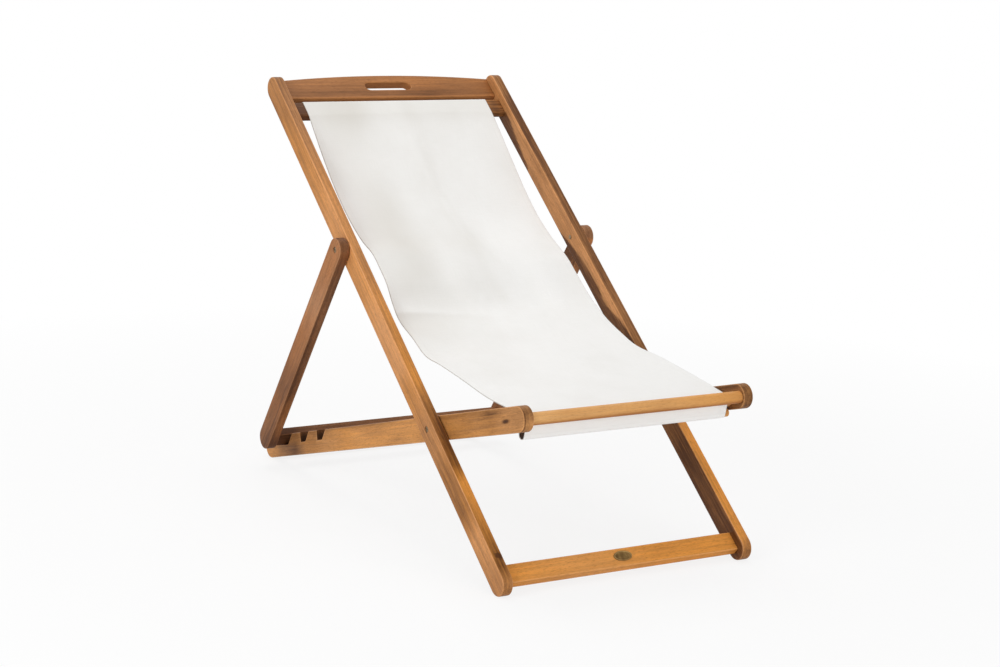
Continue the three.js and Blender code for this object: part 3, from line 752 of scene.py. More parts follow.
class ClothSettings(PropertyGroup):
    light: colour_setting("Thread", "Colour of the canvas", 247, 246, 244)
    dark: colour_setting("Thread shade", "Colour between the threads", 241, 240, 237)
    # Painted shade of the sling's folds and hollows, also the tint of its slow random mottling
    mottle_and_painted_shade: colour_setting("Soft stain", "Warm shade in the sling's hollows", 215, 211, 203)
    # Painted light: the near white painted on the front hem
    hem_painted_light: colour_setting("Doubled cloth", "Colour of the front hem, where light doesn't pass",
                            254, 254, 252)
    thread: colour_setting("Seam", "Colour along the stitching", 214, 211, 204)
    # Painted shade: the colour of a thin darker line along the sling's side edges
    edge: colour_setting("Edge", "Colour of the sling's cut edge", 176, 172, 164)
    thread_pitch: length_setting("Thread pitch", "Distance from thread to thread", 0.7 * MM)
    stitch_length: length_setting("Stitch length", "Length of one stitch and its gap", 3.5 * MM)
    side_stitch: length_setting("Side seam", "Seam's distance from the middle",
                                SLING_HALF - 14 * MM)
    pocket_stitch: length_setting("Pocket seam", "Seam's distance along each end hem", 62 * MM)
    fold_depth: length_setting("Fold depth", "Height of the sling's soft folds", 5 * MM)


class MetalSettings(PropertyGroup):
    brass: colour_setting("Brass", "Colour of the oval plate", 158, 128, 80)
    brass_stain: colour_setting("Brass stain", "Dull patches on the plate", 104, 80, 46)
    steel: colour_setting("Steel", "Colour of bolts, washers and nuts", 176, 154, 124)
    steel_stain: colour_setting("Steel stain", "Dull patches on the steel", 112, 90, 66)
    brass_roughness: share_setting("Brass roughness", "How dull the plate is", 0.4)
    steel_roughness: share_setting("Steel roughness", "How dull the fasteners are", 0.42)


class RailSettings(PropertyGroup):
    ease: length_setting("Rail edge", "Radius of the rails' rounded edges", 2.2 * MM)
    bar_ease: length_setting("Bar end", "Radius round the ends of the cross bars", 0.4 * MM)
    socket: length_setting("Bolt socket", "Width across the flats of the bolts' sockets", 4.6 * MM)


class StageSettings(PropertyGroup):
    floor: colour_setting("Floor", "Colour of the floor", 240, 240, 240)
    key_power: FloatProperty(name="Key light", description="Power of the large light on the left",
                             default=56, min=0, unit="POWER")
    fill_power: FloatProperty(name="Fill light", description="Power of the light on the right",
                              default=30, min=0, unit="POWER")
    top_power: FloatProperty(name="Top light", description="Power of the light above",
                             default=42, min=0, unit="POWER")
    surround: share_setting("Surround", "Brightness of the room round the object", 0.5)
    shadow: share_setting("Shadow", "How much of the floor's shadow shows", 0.17)


class DeckChairSettings(PropertyGroup):
    honey_wood: PointerProperty(type=HoneyWood)
    golden_wood: PointerProperty(type=GoldenWood)
    brown_wood: PointerProperty(type=BrownWood)
    red_wood: PointerProperty(type=RedWood)
    pale_wood: PointerProperty(type=PaleWood)
    seat_wood: PointerProperty(type=SeatWood)
    cloth: PointerProperty(type=ClothSettings)
    metal: PointerProperty(type=MetalSettings)
    rail: PointerProperty(type=RailSettings)
    stage: PointerProperty(type=StageSettings)


# Wooden pieces

def across(side, near, far):
    """From one distance to another across the chair, on the given side."""
    return (min(side * near, side * far), max(side * near, side * far))


def make_rails(kind, axes, levels, run, holes, grain_at, tones, body, slot,
               patches=((), ()), zones=((), ()), notched=False):
    """A rail on each side: its outline carried across its thickness, edges eased, less in the
    notches, with its bolt holes drilled and its foot planed at the floor. Its grain starts at
    grain_at's first place, moved to its side by the second. tones, patches and zones are the
    left rail's and then the right one's."""
    ease = settings().rail.ease
    start, end = run
    outline = rail_outline(start, end, notched)
    middle = joined(np.clip(outline[:, 0], start, end), -RAIL_MIDDLE_DROP if notched else 0)
    straight = (outline[:, 0] > start + NOTCH_CORNER) & (outline[:, 0] < end - NOTCH_CORNER)
    in_notch = notched & straight & (np.abs(outline[:, 1]) < RAIL_RADIUS - 0.1 * MM)
    rim = np.where(in_notch, NOTCH_EASE, ease)
    for place, (name, side) in enumerate(SIDES):
        low, high = across(side, *levels)
        grid = eased_slab(outline, middle, rim, (low, high), even_rows((low, high), ease))
        world = axes.place(grid)
        world[..., 2] = np.maximum(world[..., 2], 0)
        node = f"{name}_{kind}"
        piece = solid(node + "_finished", world)
        drill(piece, axes, side, holes)

        def reaches(local):
            beyond = local[:, 1] - np.clip(local[:, 1], start, end)
            from_edge = RAIL_RADIUS - np.hypot(beyond, local[:, 2])
            if notched:
                from_edge = np.minimum(from_edge, notch_reach(local[:, 1:]))
            # End grain darkens the rounded ends a little; the 0.9 falls on the notches' walls and
            # floors as painted shade
            end_grain_and_notch_shade = np.where(np.abs(beyond) > 0, 0.05, 0.9) * smooth_step(
                1 * MM, 10 * MM, RAIL_RADIUS - np.abs(local[:, 2]))
            return np.minimum(local[:, 0] - low, high - local[:, 0]), from_edge, end_grain_and_notch_shade
        first, shift = np.array(grain_at)
        finish_wood(piece, axes, (0, 1, 2), first + side * shift, tones[place], reaches, ease,
                    body, node, slot, patches[place], zones[place])


def make_back_rails():
    """Both long outer rails, with the pivot bolts' and prop bolts' holes."""
    tones = ((
        (-2, 46, 10, 45, 30), (2, 40, 10, 84, 90), (10, 20, 10, 46, 100), (16, 62, 70, 20, 90),
        (21, 64, 50, 18, 100), (25, 62, 60, 80, 100), (30, 46, 30, 92, 100), (36, 56, 20, 84, 90),
        (40, 44, 40, 76, 70), (45, 42, 60, 42, 90), (50, 20, 10, 42, 90), (60, 13, 0, 44, 70),
        (70, 28, 40, 42, 50), (76, 14, 30, 42, 40), (80, 18, 20, 40, 40), (90, 20, 20, 37, 30),
        (100, 33, 50, 46, 40), (110, 36, 60, 58, 20), (120, 50, 50, 66, 10),
        (130, 50, 30, 74, 30)), (
        (-2, 90, 10, 60, 40), (1, 90, 10, 26, 90), (10, 93, 10, 26, 100), (17, 90, 20, 20, 100),
        (25, 88, 20, 0, 90), (33, 70, 10, 30, 60), (48, 75, 10, 82, 30), (53, 32, 10, 78, 10),
        (60, 22, 0, 75, 10), (66, 20, 0, 82, 10), (78, 34, 0, 86, 20), (84, 38, 0, 86, 20),
        (95, 40, 0, 87, 20), (100, 44, 10, 80, 20), (105, 36, 0, 82, 10), (110, 32, 0, 98, 60),
        (116, 34, 0, 103, 60), (120, 38, 10, 103, 20), (125, 35, 10, 78, 40),
        (130, 30, 0, 70, 30)))
    # Under this line the right rail's inner face is darker
    darker_under_line = (
        (0.46, -0.030), (0.50, 0.022), (0.54, 0.020), (0.57, 0.016), (0.594, 0.008), (0.62, 0.0),
        (0.64, -0.001), (0.667, 0.004), (0.70, 0.002), (0.72, 0.001), (0.744, 0.0),
        (0.771, -0.003), (0.80, -0.009), (0.832, -0.017), (0.88, -0.030), (1.02, -0.030),
        (1.043, -0.0155), (1.07, -0.012), (1.091, -0.008), (1.114, -0.004), (1.139, 0.0),
        (1.162, 0.005), (1.19, 0.007), (1.21, -0.030))
    foot_knot = ((-BACK_INNER - 5 * MM, 0.042, RAIL_RADIUS), (0.004, 0.005, 0.004), 0.9)
    make_rails(
        "back_rail", back, (BACK_INNER, BACK_OUTER), (0, BACK_RUN),
        ((BACK_OUTER - 4 * MM, BACK_OUTER + DRILL_PAST, PIVOT_RUN, 6.4 * MM),
         (BACK_OUTER - 9 * MM, BACK_OUTER + DRILL_PAST, PROP_PIVOT_RUN, 3.3 * MM),
         (BACK_INNER - DRILL_PAST, BACK_INNER + 2.2 * MM, PROP_PIVOT_RUN, 4.8 * MM),
         (BACK_INNER - DRILL_PAST, BACK_OUTER + DRILL_PAST, PIVOT_RUN, 4.3 * MM)),
        ((0, 0, 0.045), (0.31, 1.7, 0)), tones, "back_frame", "honey_wood",
        patches=((foot_knot,), ()), zones=((), ((BACK_INNER, darker_under_line, 0.6),)))


def make_seat_rails():
    """Both inner rails with their three notches and the nuts' room."""
    tones = ((
        (-32, 36, 10, 55, 10), (-29, 36, 10, 66, 10), (-25, 30, 20, 62, 10), (-20, 47, 60, 66, 20),
        (-15, 35, 50, 72, 20), (-10, 38, 70, 62, 50), (-3, 36, 50, 60, 40), (5, 42, 40, 42, 30),
        (10, 18, 50, 44, 50), (13, 19, 50, 80, 50), (20, 26, 50, 84, 50), (30, 20, 50, 86, 40),
        (35, 22, 50, 92, 40), (40, 27, 70, 98, 70), (45, 28, 50, 82, 30), (50, 36, 30, 78, 30),
        (55, 46, 50, 86, 70), (60, 40, 50, 80, 40), (65, 64, 0, 125, 0), (70, 58, 0, 95, 0),
        (75, 28, 30, 60, 0), (80, 20, 30, 50, 20)),
        ((-32, 78, 20), (-20, 76, 20), (0, 70, 20), (80, 70, 30)))
    left_patches = (
        ((-SEAT_OUTER, -0.255, -0.0012), (0.01, 0.009, 0.0013), 1.5),
        ((-SEAT_OUTER, -0.22, 0.014), (0.01, 0.055, 0.010), 0.4),
        ((-SEAT_OUTER, -0.09, 0.020), (0.01, 0.09, 0.007), 0.22),
        ((-SEAT_OUTER, 0.38, 0.0225), (0.02, 0.26, 0.004), 0.3),
        ((-SEAT_OUTER, -0.235, -0.003), (0.01, 0.02, 0.002), 0.25),
        ((-SEAT_OUTER + 2.2 * MM, -0.32, 0), (0.0013, 0.03, 0.03), 0.5),
        ((-SEAT_INNER, -0.318, -0.012), (0.03, 0.012, 0.010), -0.35),
        ((-SEAT_OUTER, 0.66, -0.012), (0.01, 0.03, 0.014), 0.15))
    make_rails(
        "seat_rail", seat, (SEAT_INNER, SEAT_OUTER), (SEAT_FRONT, SEAT_REAR),
        ((SEAT_INNER - DRILL_PAST, SEAT_INNER + 6 * MM, 0, 10 * MM),
         (SEAT_INNER - DRILL_PAST, SEAT_OUTER + DRILL_PAST, 0, 4.3 * MM)),
        ((2, 0, 0.03), (0.27, 0.4, 0)), tones, "seat_frame", "seat_wood",
        patches=(left_patches, ()), notched=True)


def make_prop_legs():
    """Both prop legs with the bolt heads' room."""
    tones = ((
        (0, 30, 60, 80, 60), (5, 24, 70, 76, 20), (10, 20, 40, 80, 0), (15, 10, 0, 74, 50),
        (20, 20, 50, 82, 30), (25, 44, 80, 88, 80), (30, 54, 70, 93, 50), (35, 67, 80, 90, 80),
        (40, 69, 50, 95, 60), (45, 57, 90, 82, 100), (50, 73, 50, 68, 70), (56, 76, 40, 120, 90)),
        ((-3, 40, 10, 42, 0), (-1.6, 40, 10, 42, 0), (-1, 60, 60, 0, 100), (3, 60, 60, 10, 100),
         (6, 80, 90, 50, 90), (50, 50, 70, 50, 70)))
    patches = ((((-PROP_INNER - 3 * MM, 0.38, -RAIL_RADIUS), (0.005, 0.2, 0.01), -0.4),),
               (((PROP_INNER, 0.085, -0.016), (0.012, 0.016, 0.012), -0.8),))
    make_rails(
        "prop_leg", prop, (PROP_INNER, PROP_OUTER), (0, PROP_RUN),
        ((PROP_OUTER - 3.2 * MM, PROP_OUTER + DRILL_PAST, 0, 6.6 * MM),
         (PROP_INNER - DRILL_PAST, PROP_OUTER + DRILL_PAST, 0, 3.3 * MM)),
        ((5, 0, 0.02), (0.4, 0.9, 0)), tones, "prop_frame", "red_wood", patches=patches)


def make_flat_bar(node, axes, run, levels, corner, half, offset, tones, body, slot):
    """A flat cross bar: its rounded section carried across the chair."""
    ease = settings().rail.bar_ease
    outline = rounded_rectangle(run, levels, corner)
    middle = np.array((sum(run) / 2, sum(levels) / 2))
    span = (-half, half)
    grid = eased_slab(outline, middle, ease, span, even_rows(span, ease, STATION_SPACING))
    piece = solid(node + "_finished", axes.place(grid))

    def reaches(local):
        return (np.minimum(local[:, 2] - levels[0], levels[1] - local[:, 2]),
                np.minimum(local[:, 1] - run[0], run[1] - local[:, 1]), 0)
    wear_and_highlight_reach = min(corner, 2.5 * MM)
    finish_wood(piece, axes, (2, 0, 1), offset, tones, reaches, wear_and_highlight_reach, body, node, slot)


def make_round_bar(node, axes, place, half, shift, offset, tones, body, slot, patches=()):
    """A dowel or rod: a circle carried across the chair."""
    along, level, radius = place
    ease = settings().rail.bar_ease
    span = (shift - half, shift + half)
    grid = eased_slab(circle((along, level), radius), np.array((along, level)), ease, span,
                      even_rows(span, ease, STATION_SPACING))
    piece = solid(node + "_finished", axes.place(grid))
    finish_wood(piece, axes, (2, 0, 1), offset, tones, lambda local: (0, 1, 0), ease,
                body, node, slot, patches)


def make_cross_bars():
    """The flat bars of the back frame and of the prop."""
    make_flat_bar("upper_sling_bar", back, *SLING_BAR, SLING_BAR_CORNER, CROSS_HALF,
                  (0.03, 4.2, 0.05 - SLING_BAR[0][0]),
                  # The dark tones at the left end are painted shade under the top rail
                  ((-26, 120, 20), (-23, 110, 10), (-20, 60, 20), (20, 70, 30), (24, 88, 40),
                   (25, 80, 40)), "back_frame", "honey_wood")
    make_flat_bar("bottom_rail", back, *BOTTOM_RAIL, BOTTOM_RAIL_CORNER, CROSS_HALF,
                  (0.04, 7.1, 0.05),
                  ((-26, 19, 90), (-18, 18, 50), (-10, 6, 30), (-5, 4, 30), (6, 10, 80),
                   (20, 14, 90), (26, 20, 90)), "back_frame", "golden_wood")
    make_flat_bar("prop_cross_bar", prop, *PROP_BAR, PROP_BAR_CORNER, PROP_INNER - 0.3 * MM,
                  (0.02, 9.3, 0.04 - PROP_BAR[0][0]),
                  # The dark tones at the left end are painted shade inside the rear notch
                  ((-30, 130, 40), (-20, 80, 40), (30, 50, 30)), "prop_frame", "red_wood")


def make_round_bars():
    """The seat frame's round bars and the two hem rods."""
    make_round_bar("front_dowel", seat, FRONT_DOWEL, SEAT_INNER, 0, (0.02, 3.1, 0.35),
                   ((-24, 8, 10), (-18, 20, 20), (-10, 25, 20), (0, 35, 30), (6, 38, 30),
                    (10, 24, 50), (16, 18, 70), (23, 45, 80)), "seat_frame", "pale_wood",
                   # This patch darkens the dowel's underside: painted shade
                   (((0, FRONT_DOWEL[0], FRONT_DOWEL[1] - 13 * MM), (1, 0.02, 0.0055), 1.1),))
    make_round_bar("front_sling_bar", seat, FRONT_BAR, SEAT_INNER, 0, (0.02, 5.1, 0.33),
                   ((-30, 40, 30), (30, 50, 30)), "seat_frame", "pale_wood")
    make_round_bar("rear_stretcher", seat, REAR_STRETCHER, SEAT_INNER, 0, (0.02, 6.4, -0.7),
                   ((-30, 40, 30), (30, 50, 30)), "seat_frame", "seat_wood")
    make_round_bar("upper_hem_rod", back, UPPER_ROD + (ROD_RADIUS,), ROD_HALF, -2 * MM,
                   (0.02, 8.4, -1.2), ((-30, 40, 30), (30, 40, 30)), "back_frame", "pale_wood")
    make_round_bar("lower_hem_rod", seat, LOWER_ROD + (ROD_RADIUS,), ROD_HALF + 7.5 * MM,
                   1.5 * MM, (0.02, 9.4, 0.3),
                   # The tones past 2 at the left end are painted shade in the open end of the hem's
                   # pocket
                   ((-23, 210, 30), (-21.5, 200, 30), (-20, 50, 30), (21, 40, 40), (24, 20, 80)),
                   "seat_frame", "pale_wood")


def top_edge(x):
    """The top rail's crowned upper edge: a parabola over its width."""
    return TOP_START + TOP_HEIGHT + TOP_CROWN * (1 - (x / CROSS_HALF) ** 2)


def make_top_rail():
    """The crowned board: a ring between its hand slot and its outer edge. Each outer point is
    joined to the slot's edge by the ray from the slot's middle line, and the section goes round
    slot edge, front face, outer edge and back face, every edge a quarter circle."""
    ease = settings().rail.ease
    across_steps = np.linspace(-CROSS_HALF, CROSS_HALF, 61)
    up_side = TOP_START + TOP_HEIGHT * np.linspace(0, 1, 7)[1:-1]
    outer = np.concatenate((
        joined(across_steps, TOP_START), joined(CROSS_HALF, up_side),
        joined(across_steps, top_edge(across_steps))[::-1], joined(-CROSS_HALF, up_side[::-1])))
    middle = joined(np.clip(outer[:, 0], -SLOT_HALF, SLOT_HALF), SLOT_MIDDLE)
    ray = outer - middle
    ray /= np.linalg.norm(ray, axis=1, keepdims=True)
    turn = quarter_turn()
    low, high = TOP_LEVELS
    slot_rim = middle + SLOT_RADIUS * ray + ray * (ease - ease * np.cos(turn))
    outer_rim = outer + inward(outer) * (ease - ease * np.sin(turn))
    shares = np.array((0.12, 0.35, 0.65, 0.88))[:, None, None]
    face = slot_rim[-1] + shares * (outer_rim[0] - slot_rim[-1])
    front = np.concatenate((slot_rim, face, outer_rim))
    front_level = np.concatenate((high - ease + ease * np.sin(turn), np.full((4, 1, 1), high),
                                  high - ease + ease * np.cos(turn)))
    plane = np.concatenate((front, front[::-1]))
    level = np.concatenate((front_level, low + high - front_level[::-1]))
    grid = joined(plane[..., 0], plane[..., 1], level[..., 0])
    piece = solid("top_rail_finished", back.place(grid), closed_rows=True)

    def reaches(local):
        x, along = local[:, 0], local[:, 1]
        past_slot = x - np.clip(x, -SLOT_HALF, SLOT_HALF)
        slot_reach = np.hypot(past_slot, along - SLOT_MIDDLE) - SLOT_RADIUS
        rim = np.minimum(np.minimum(along - TOP_START, top_edge(x) - along), slot_reach)
        return np.minimum(local[:, 2] - low, high - local[:, 2]), rim, 0
    finish_wood(piece, back, (2, 0, 1), (0.02, 2.3, 0.03 - TOP_START),
                ((-26, 42, 0, 60, 0), (-18, 46, 0, 60, 0), (-10, 54, 0, 60, 10),
                 (0, 45, 10, 60, 20), (10, 59, 40, 60, 20), (18, 55, 10, 60, 0),
                 (26, 60, 50, 60, 20)),
                reaches, ease, "back_frame", "top_rail", "brown_wood",
                (((0, TOP_START + 0.055, 0), (0.5, 0.022, 1), -0.24),
                 ((0, TOP_START + 0.008, 0), (0.5, 0.012, 1), 0.12),
                 # This patch lightens the lower front edge: a painted highlight against the shade
                 # under the rail
                 ((0, TOP_START, TOP_LEVELS[1]), (0.5, 0.004, 0.006), -0.6)))


# Metal pieces

SOCKET_DEPTH = 1.7 * MM
HEAD_DOME = 0.35 * MM
SHANK_CHAMFER = 0.4 * MM
BOLTS = (  # name, place along, head's face, height and radius, shank's end and radius
    ("pivot", PIVOT_RUN, BACK_OUTER - 0.7 * MM, 3 * MM, 6 * MM, SEAT_INNER + 0.3 * MM, 4 * MM),
    ("prop", PROP_PIVOT_RUN, PROP_OUTER - 0.5 * MM, 2.4 * MM, 6.3 * MM, BACK_INNER - 1.1 * MM,
     3 * MM))


def turned(name, axes, along, side, profile, hexagon=()):
    """A piece turned round a bolt's axis: each profile row is (distance across, radius), and the
    rows named in hexagon are six-sided, radius / cos of the angle from the nearest flat."""
    angle = np.arange(ROUND_STEPS) * 2 * math.pi / ROUND_STEPS
    flat = np.mod(angle + math.pi / 6, math.pi / 3) - math.pi / 6
    depth, radius = np.array(profile).T[..., None]
    reach = np.repeat(radius, ROUND_STEPS, axis=1)
    reach[list(hexagon)] /= np.cos(flat)
    grid = joined(side * depth, along + reach * np.cos(angle), reach * np.sin(angle))
    return solid(name, axes.place(grid), sharp_angle=28)


def bolt_profile(head_face, head_height, head_radius, shank_end, shank_radius, socket):
    """Rows from the socket's bottom over the domed head and down the shank."""
    bottom, rim, neck = head_face - np.array((SOCKET_DEPTH, HEAD_DOME, head_height))
    return ((bottom, 0), (bottom, socket / 2), (head_face - 0.2 * MM, socket / 2),
            (head_face, socket / 2 + 0.3 * MM), (head_face - HEAD_DOME / 2, head_radius * 0.75),
            (rim, head_radius - 0.7 * MM), (rim - 0.5 * MM, head_radius), (neck, head_radius),
            (neck, shank_radius), (shank_end + SHANK_CHAMFER, shank_radius),
            (shank_end, shank_radius - SHANK_CHAMFER), (shank_end, 0))


def make_fasteners():
    """Socket-head bolts that replace the plain ones; washers and nuts keep their CAD shape."""
    socket = settings().rail.socket
    steel = metal_material("dull_steel", "steel", (2500, 2500, 2500))
    for name, side in SIDES:
        for kind, along, *shape in BOLTS:
            node = f"{name}_{kind}_bolt"
            bolt = turned(node + "_finished", back, along, side, bolt_profile(*shape, socket),
                          hexagon=(1, 2))
            finish(bolt, "back_frame", node, steel)
            for part in ("washer", "nut"):
                materials = frame["nodes"][f"{name}_{kind}_{part}"].data.materials
                materials.clear()
                materials.append(steel)


def make_oval_plate():
    """A bare oval plate: rows of ellipses at (share, height), a slightly domed field inside a
    rounded rim."""
    profile = np.array((
        (0, 0.0), (1, 0.0), (1, 0.8), (0.985, 1.45), (0.95, 1.75), (0.90, 1.8), (0.855, 1.6),
        (0.83, 1.2), (0.80, 1.05), (0.5, 1.15), (0.25, 1.2), (0, 1.2)))
    angle = np.arange(2 * ROUND_STEPS) * math.pi / ROUND_STEPS
    share, height = profile.T[..., None]
    grid = joined(share * PLATE_HALF[0] * np.cos(angle),
                  PLATE_ALONG + share * PLATE_HALF[1] * np.sin(angle), PLATE_LEVEL + height * MM)
    piece = solid("oval_plate_finished", back.place(grid), sharp_angle=60)
    local = back.local(vertices(piece)) - (0, PLATE_ALONG, 0)
    reach = np.hypot(local[:, 0] / PLATE_HALF[0], local[:, 1] / PLATE_HALF[1])
    on_rim = smooth_step(0.8, 0.88, reach) * (1 - smooth_step(0.95, 0.99, reach))
    put_attribute(piece, "wear", on_rim)
    finish(piece, "back_frame", "oval_plate",
           metal_material("aged_brass", "brass", (600, 3000, 3000)))


# Sling

POCKET_RADIUS = ROD_RADIUS + STAND_OFF
POCKET_OUTER = POCKET_RADIUS + SHEET_THICKNESS / 2
UPPER_ROD = (TOP_START - 7 * MM,
             TOP_LEVELS[0] - math.sqrt((POCKET_OUTER + 0.3 * MM) ** 2 - (7 * MM) ** 2))
LOWER_LEAN = math.radians(71.6)
LOWER_REACH = FRONT_BAR[2] + POCKET_OUTER + 3.3 * MM
LOWER_ROD = (FRONT_BAR[0] + LOWER_REACH * math.cos(LOWER_LEAN),
             FRONT_BAR[1] - LOWER_REACH * math.sin(LOWER_LEAN))


def through(points, steps):
    """A Catmull-Rom curve: between neighbours b and c, with a before and d after,
    b + t(c - a)/2 + t^2(2a - 5b + 4c - d)/2 + t^3(3b - a - 3c + d)/2."""
    count = len(points)
    place = np.linspace(0, count - 1, steps + 1)
    index = np.minimum(place.astype(int), count - 2)
    t = (place - index)[:, None]
    a, b = points[np.maximum(index - 1, 0)], points[index]
    c, d = points[index + 1], points[np.minimum(index + 2, count - 1)]
    return (b + t * (c - a) / 2 + t**2 * (2 * a - 5 * b + 4 * c - d) / 2
            + t**3 * (3 * b - a - 3 * c + d) / 2)


def sling_lines():
    """The sling's left and right edge in side view, and how many points lead up to its span."""
    degree = math.pi / 180
    turn_radius = SLING_BAR_CORNER + STAND_OFF
    bar_start, bar_end = SLING_BAR[0]
    bar_back, bar_front = SLING_BAR[1]
    bar_radius = FRONT_BAR[2] + STAND_OFF
    upper = np.concatenate((
        back.side(arc(UPPER_ROD, POCKET_RADIUS, -255 * degree, 72 * degree, 40)),
        back.side([(UPPER_ROD[0], bar_back + 2 * STAND_OFF)]),
        back.side(arc((bar_end - SLING_BAR_CORNER, bar_front - SLING_BAR_CORNER), turn_radius,
                      15 * degree, 90 * degree, 9)),
        back.side(joined(np.linspace(bar_end - SLING_BAR_CORNER, bar_start, 8)[1:-1],
                         bar_front + STAND_OFF))))
    lean = math.acos((bar_radius - POCKET_RADIUS) / LOWER_REACH)
    leave = 2 * math.pi - LOWER_LEAN - lean
    pocket = arc(LOWER_ROD, POCKET_RADIUS, leave, leave + 292 * degree, 40)
    out = np.array((math.cos(leave), math.sin(leave)))
    onward = np.array((-out[1], out[0]))
    lap = pocket[0] - 1.5 * MM * out - np.array((9, 13, 18))[:, None] * MM * onward
    lower = np.concatenate((
        seat.side(arc(FRONT_BAR[:2], bar_radius, 111 * degree, leave, FRONT_TURN_STEPS)),
        seat.side(np.linspace(FRONT_BAR[:2] + bar_radius * out, pocket[0], 6)[1:-1]),
        seat.side(pocket), seat.side(lap)))
    start = back.side([(bar_start, bar_front + STAND_OFF)])[0]
    line = lower[0] - start
    down = np.array((-line[1], line[0])) / np.linalg.norm(line)
    along, *sags = SPAN_SHARES.T[..., None]
    edges = [np.concatenate((upper, through(start + along * line + SLING_SAG * sag * down,
                                            SPAN_STEPS)[:-1], lower)) for sag in sags]
    return *edges, len(upper)


def ridge(place, width):
    """A bell of height 1: exp(-(place / width)^2)."""
    return np.exp(-(place / width) ** 2)


def past_crease(along, across_share):
    """How far a place is below the crease that runs in from the left edge's kink."""
    return along - 0.56 - 0.095 * across_share


def fold_height(along, across_share, depth):
    """Height of the sling's soft folds over its span: a sharp fold line down the middle, a crease
    from the left edge at its kink, a few long folds that fan out below, and slow swells."""
    def within(low, high, soft):
        start = smooth_step(low - soft, low + soft, along)
        return start * (1 - smooth_step(high - soft, high + soft, along))
    middle = 0.5 + 0.10 * smooth_step(0.0, 0.45, along)
    fold = 0.28 * ridge(across_share - middle, 0.012) * within(0.02, 0.4, 0.03)
    crease = (0.7 * ridge(past_crease(along, across_share), 0.016) * ridge(across_share, 0.3)
              * smooth_step(0.0, 0.06, across_share))
    fan = sum(size * ridge(across_share - centre - slope * (along - 0.45), width)
              * within(0.34, 0.7, 0.2)
              for size, centre, slope, width in ((-0.4, 0.28, 0.5, 0.07), (0.4, 0.42, -0.45, 0.08),
                                                 (-0.4, 0.7, 0.35, 0.08), (0.3, 0.85, -0.3, 0.06)))
    swell = sum(size * ridge(across_share - centre, width) * ridge(along - place, length)
                for size, centre, width, place, length in (
                    (0.9, 0.2, 0.22, 0.24, 0.1), (-0.8, 0.75, 0.25, 0.33, 0.12),
                    (0.8, 0.5, 0.3, 0.75, 0.12)))
    fade = smooth_step(0.0, 0.08, along) * (1 - smooth_step(0.9, 0.99, along))
    return depth * fade * (fold + crease + fan + swell)


def painted_fold_shading(along, across_share):
    """Painted shading of the sling's folds. Painted shade where the cloth is made a little darker:
    under the top bar where it turns over, down the left side, in a band, below the crease and
    beside the middle fold; painted light, least darkening, on the right of the middle."""
    upper = 1 - smooth_step(0.5, 0.66, along)
    left = smooth_step(-0.1, 0.2, across_share) * (1 - smooth_step(0.2, 0.38, across_share))
    lit = ridge(across_share - 0.8, 0.2) * smooth_step(0.06, 0.3, along)
    waves = 0.1 * np.sin(31 * along + 5 * across_share) * left
    below = np.interp(past_crease(along, across_share),
                      (0, 0.008, 0.04, 0.075, 0.115, 0.16, 0.24, 0.3),
                      (0, 0.34, 0.38, 0.45, 0.28, 0.17, 0.12, 0))
    band = 0.17 + 0.13 * ridge(across_share - 0.2, 0.07) - 0.09 * ridge(across_share - 0.37, 0.05)
    beside_fold = ridge(across_share - 0.54 - 0.02 * np.sin(25 * along), 0.035)
    return (0.26 * ridge(along, 0.035) + upper * (0.18 * (1 - 1.2 * lit) + 0.27 * left + waves)
            + below * (1 - smooth_step(0.0, 0.6, across_share))
            + band * ridge(along - 0.32, 0.05) * (1 - smooth_step(0.52, 0.66, across_share))
            - 0.2 * ridge(across_share, 0.06) * ridge(along - 0.2, 0.06)
            + 0.08 * beside_fold * upper)


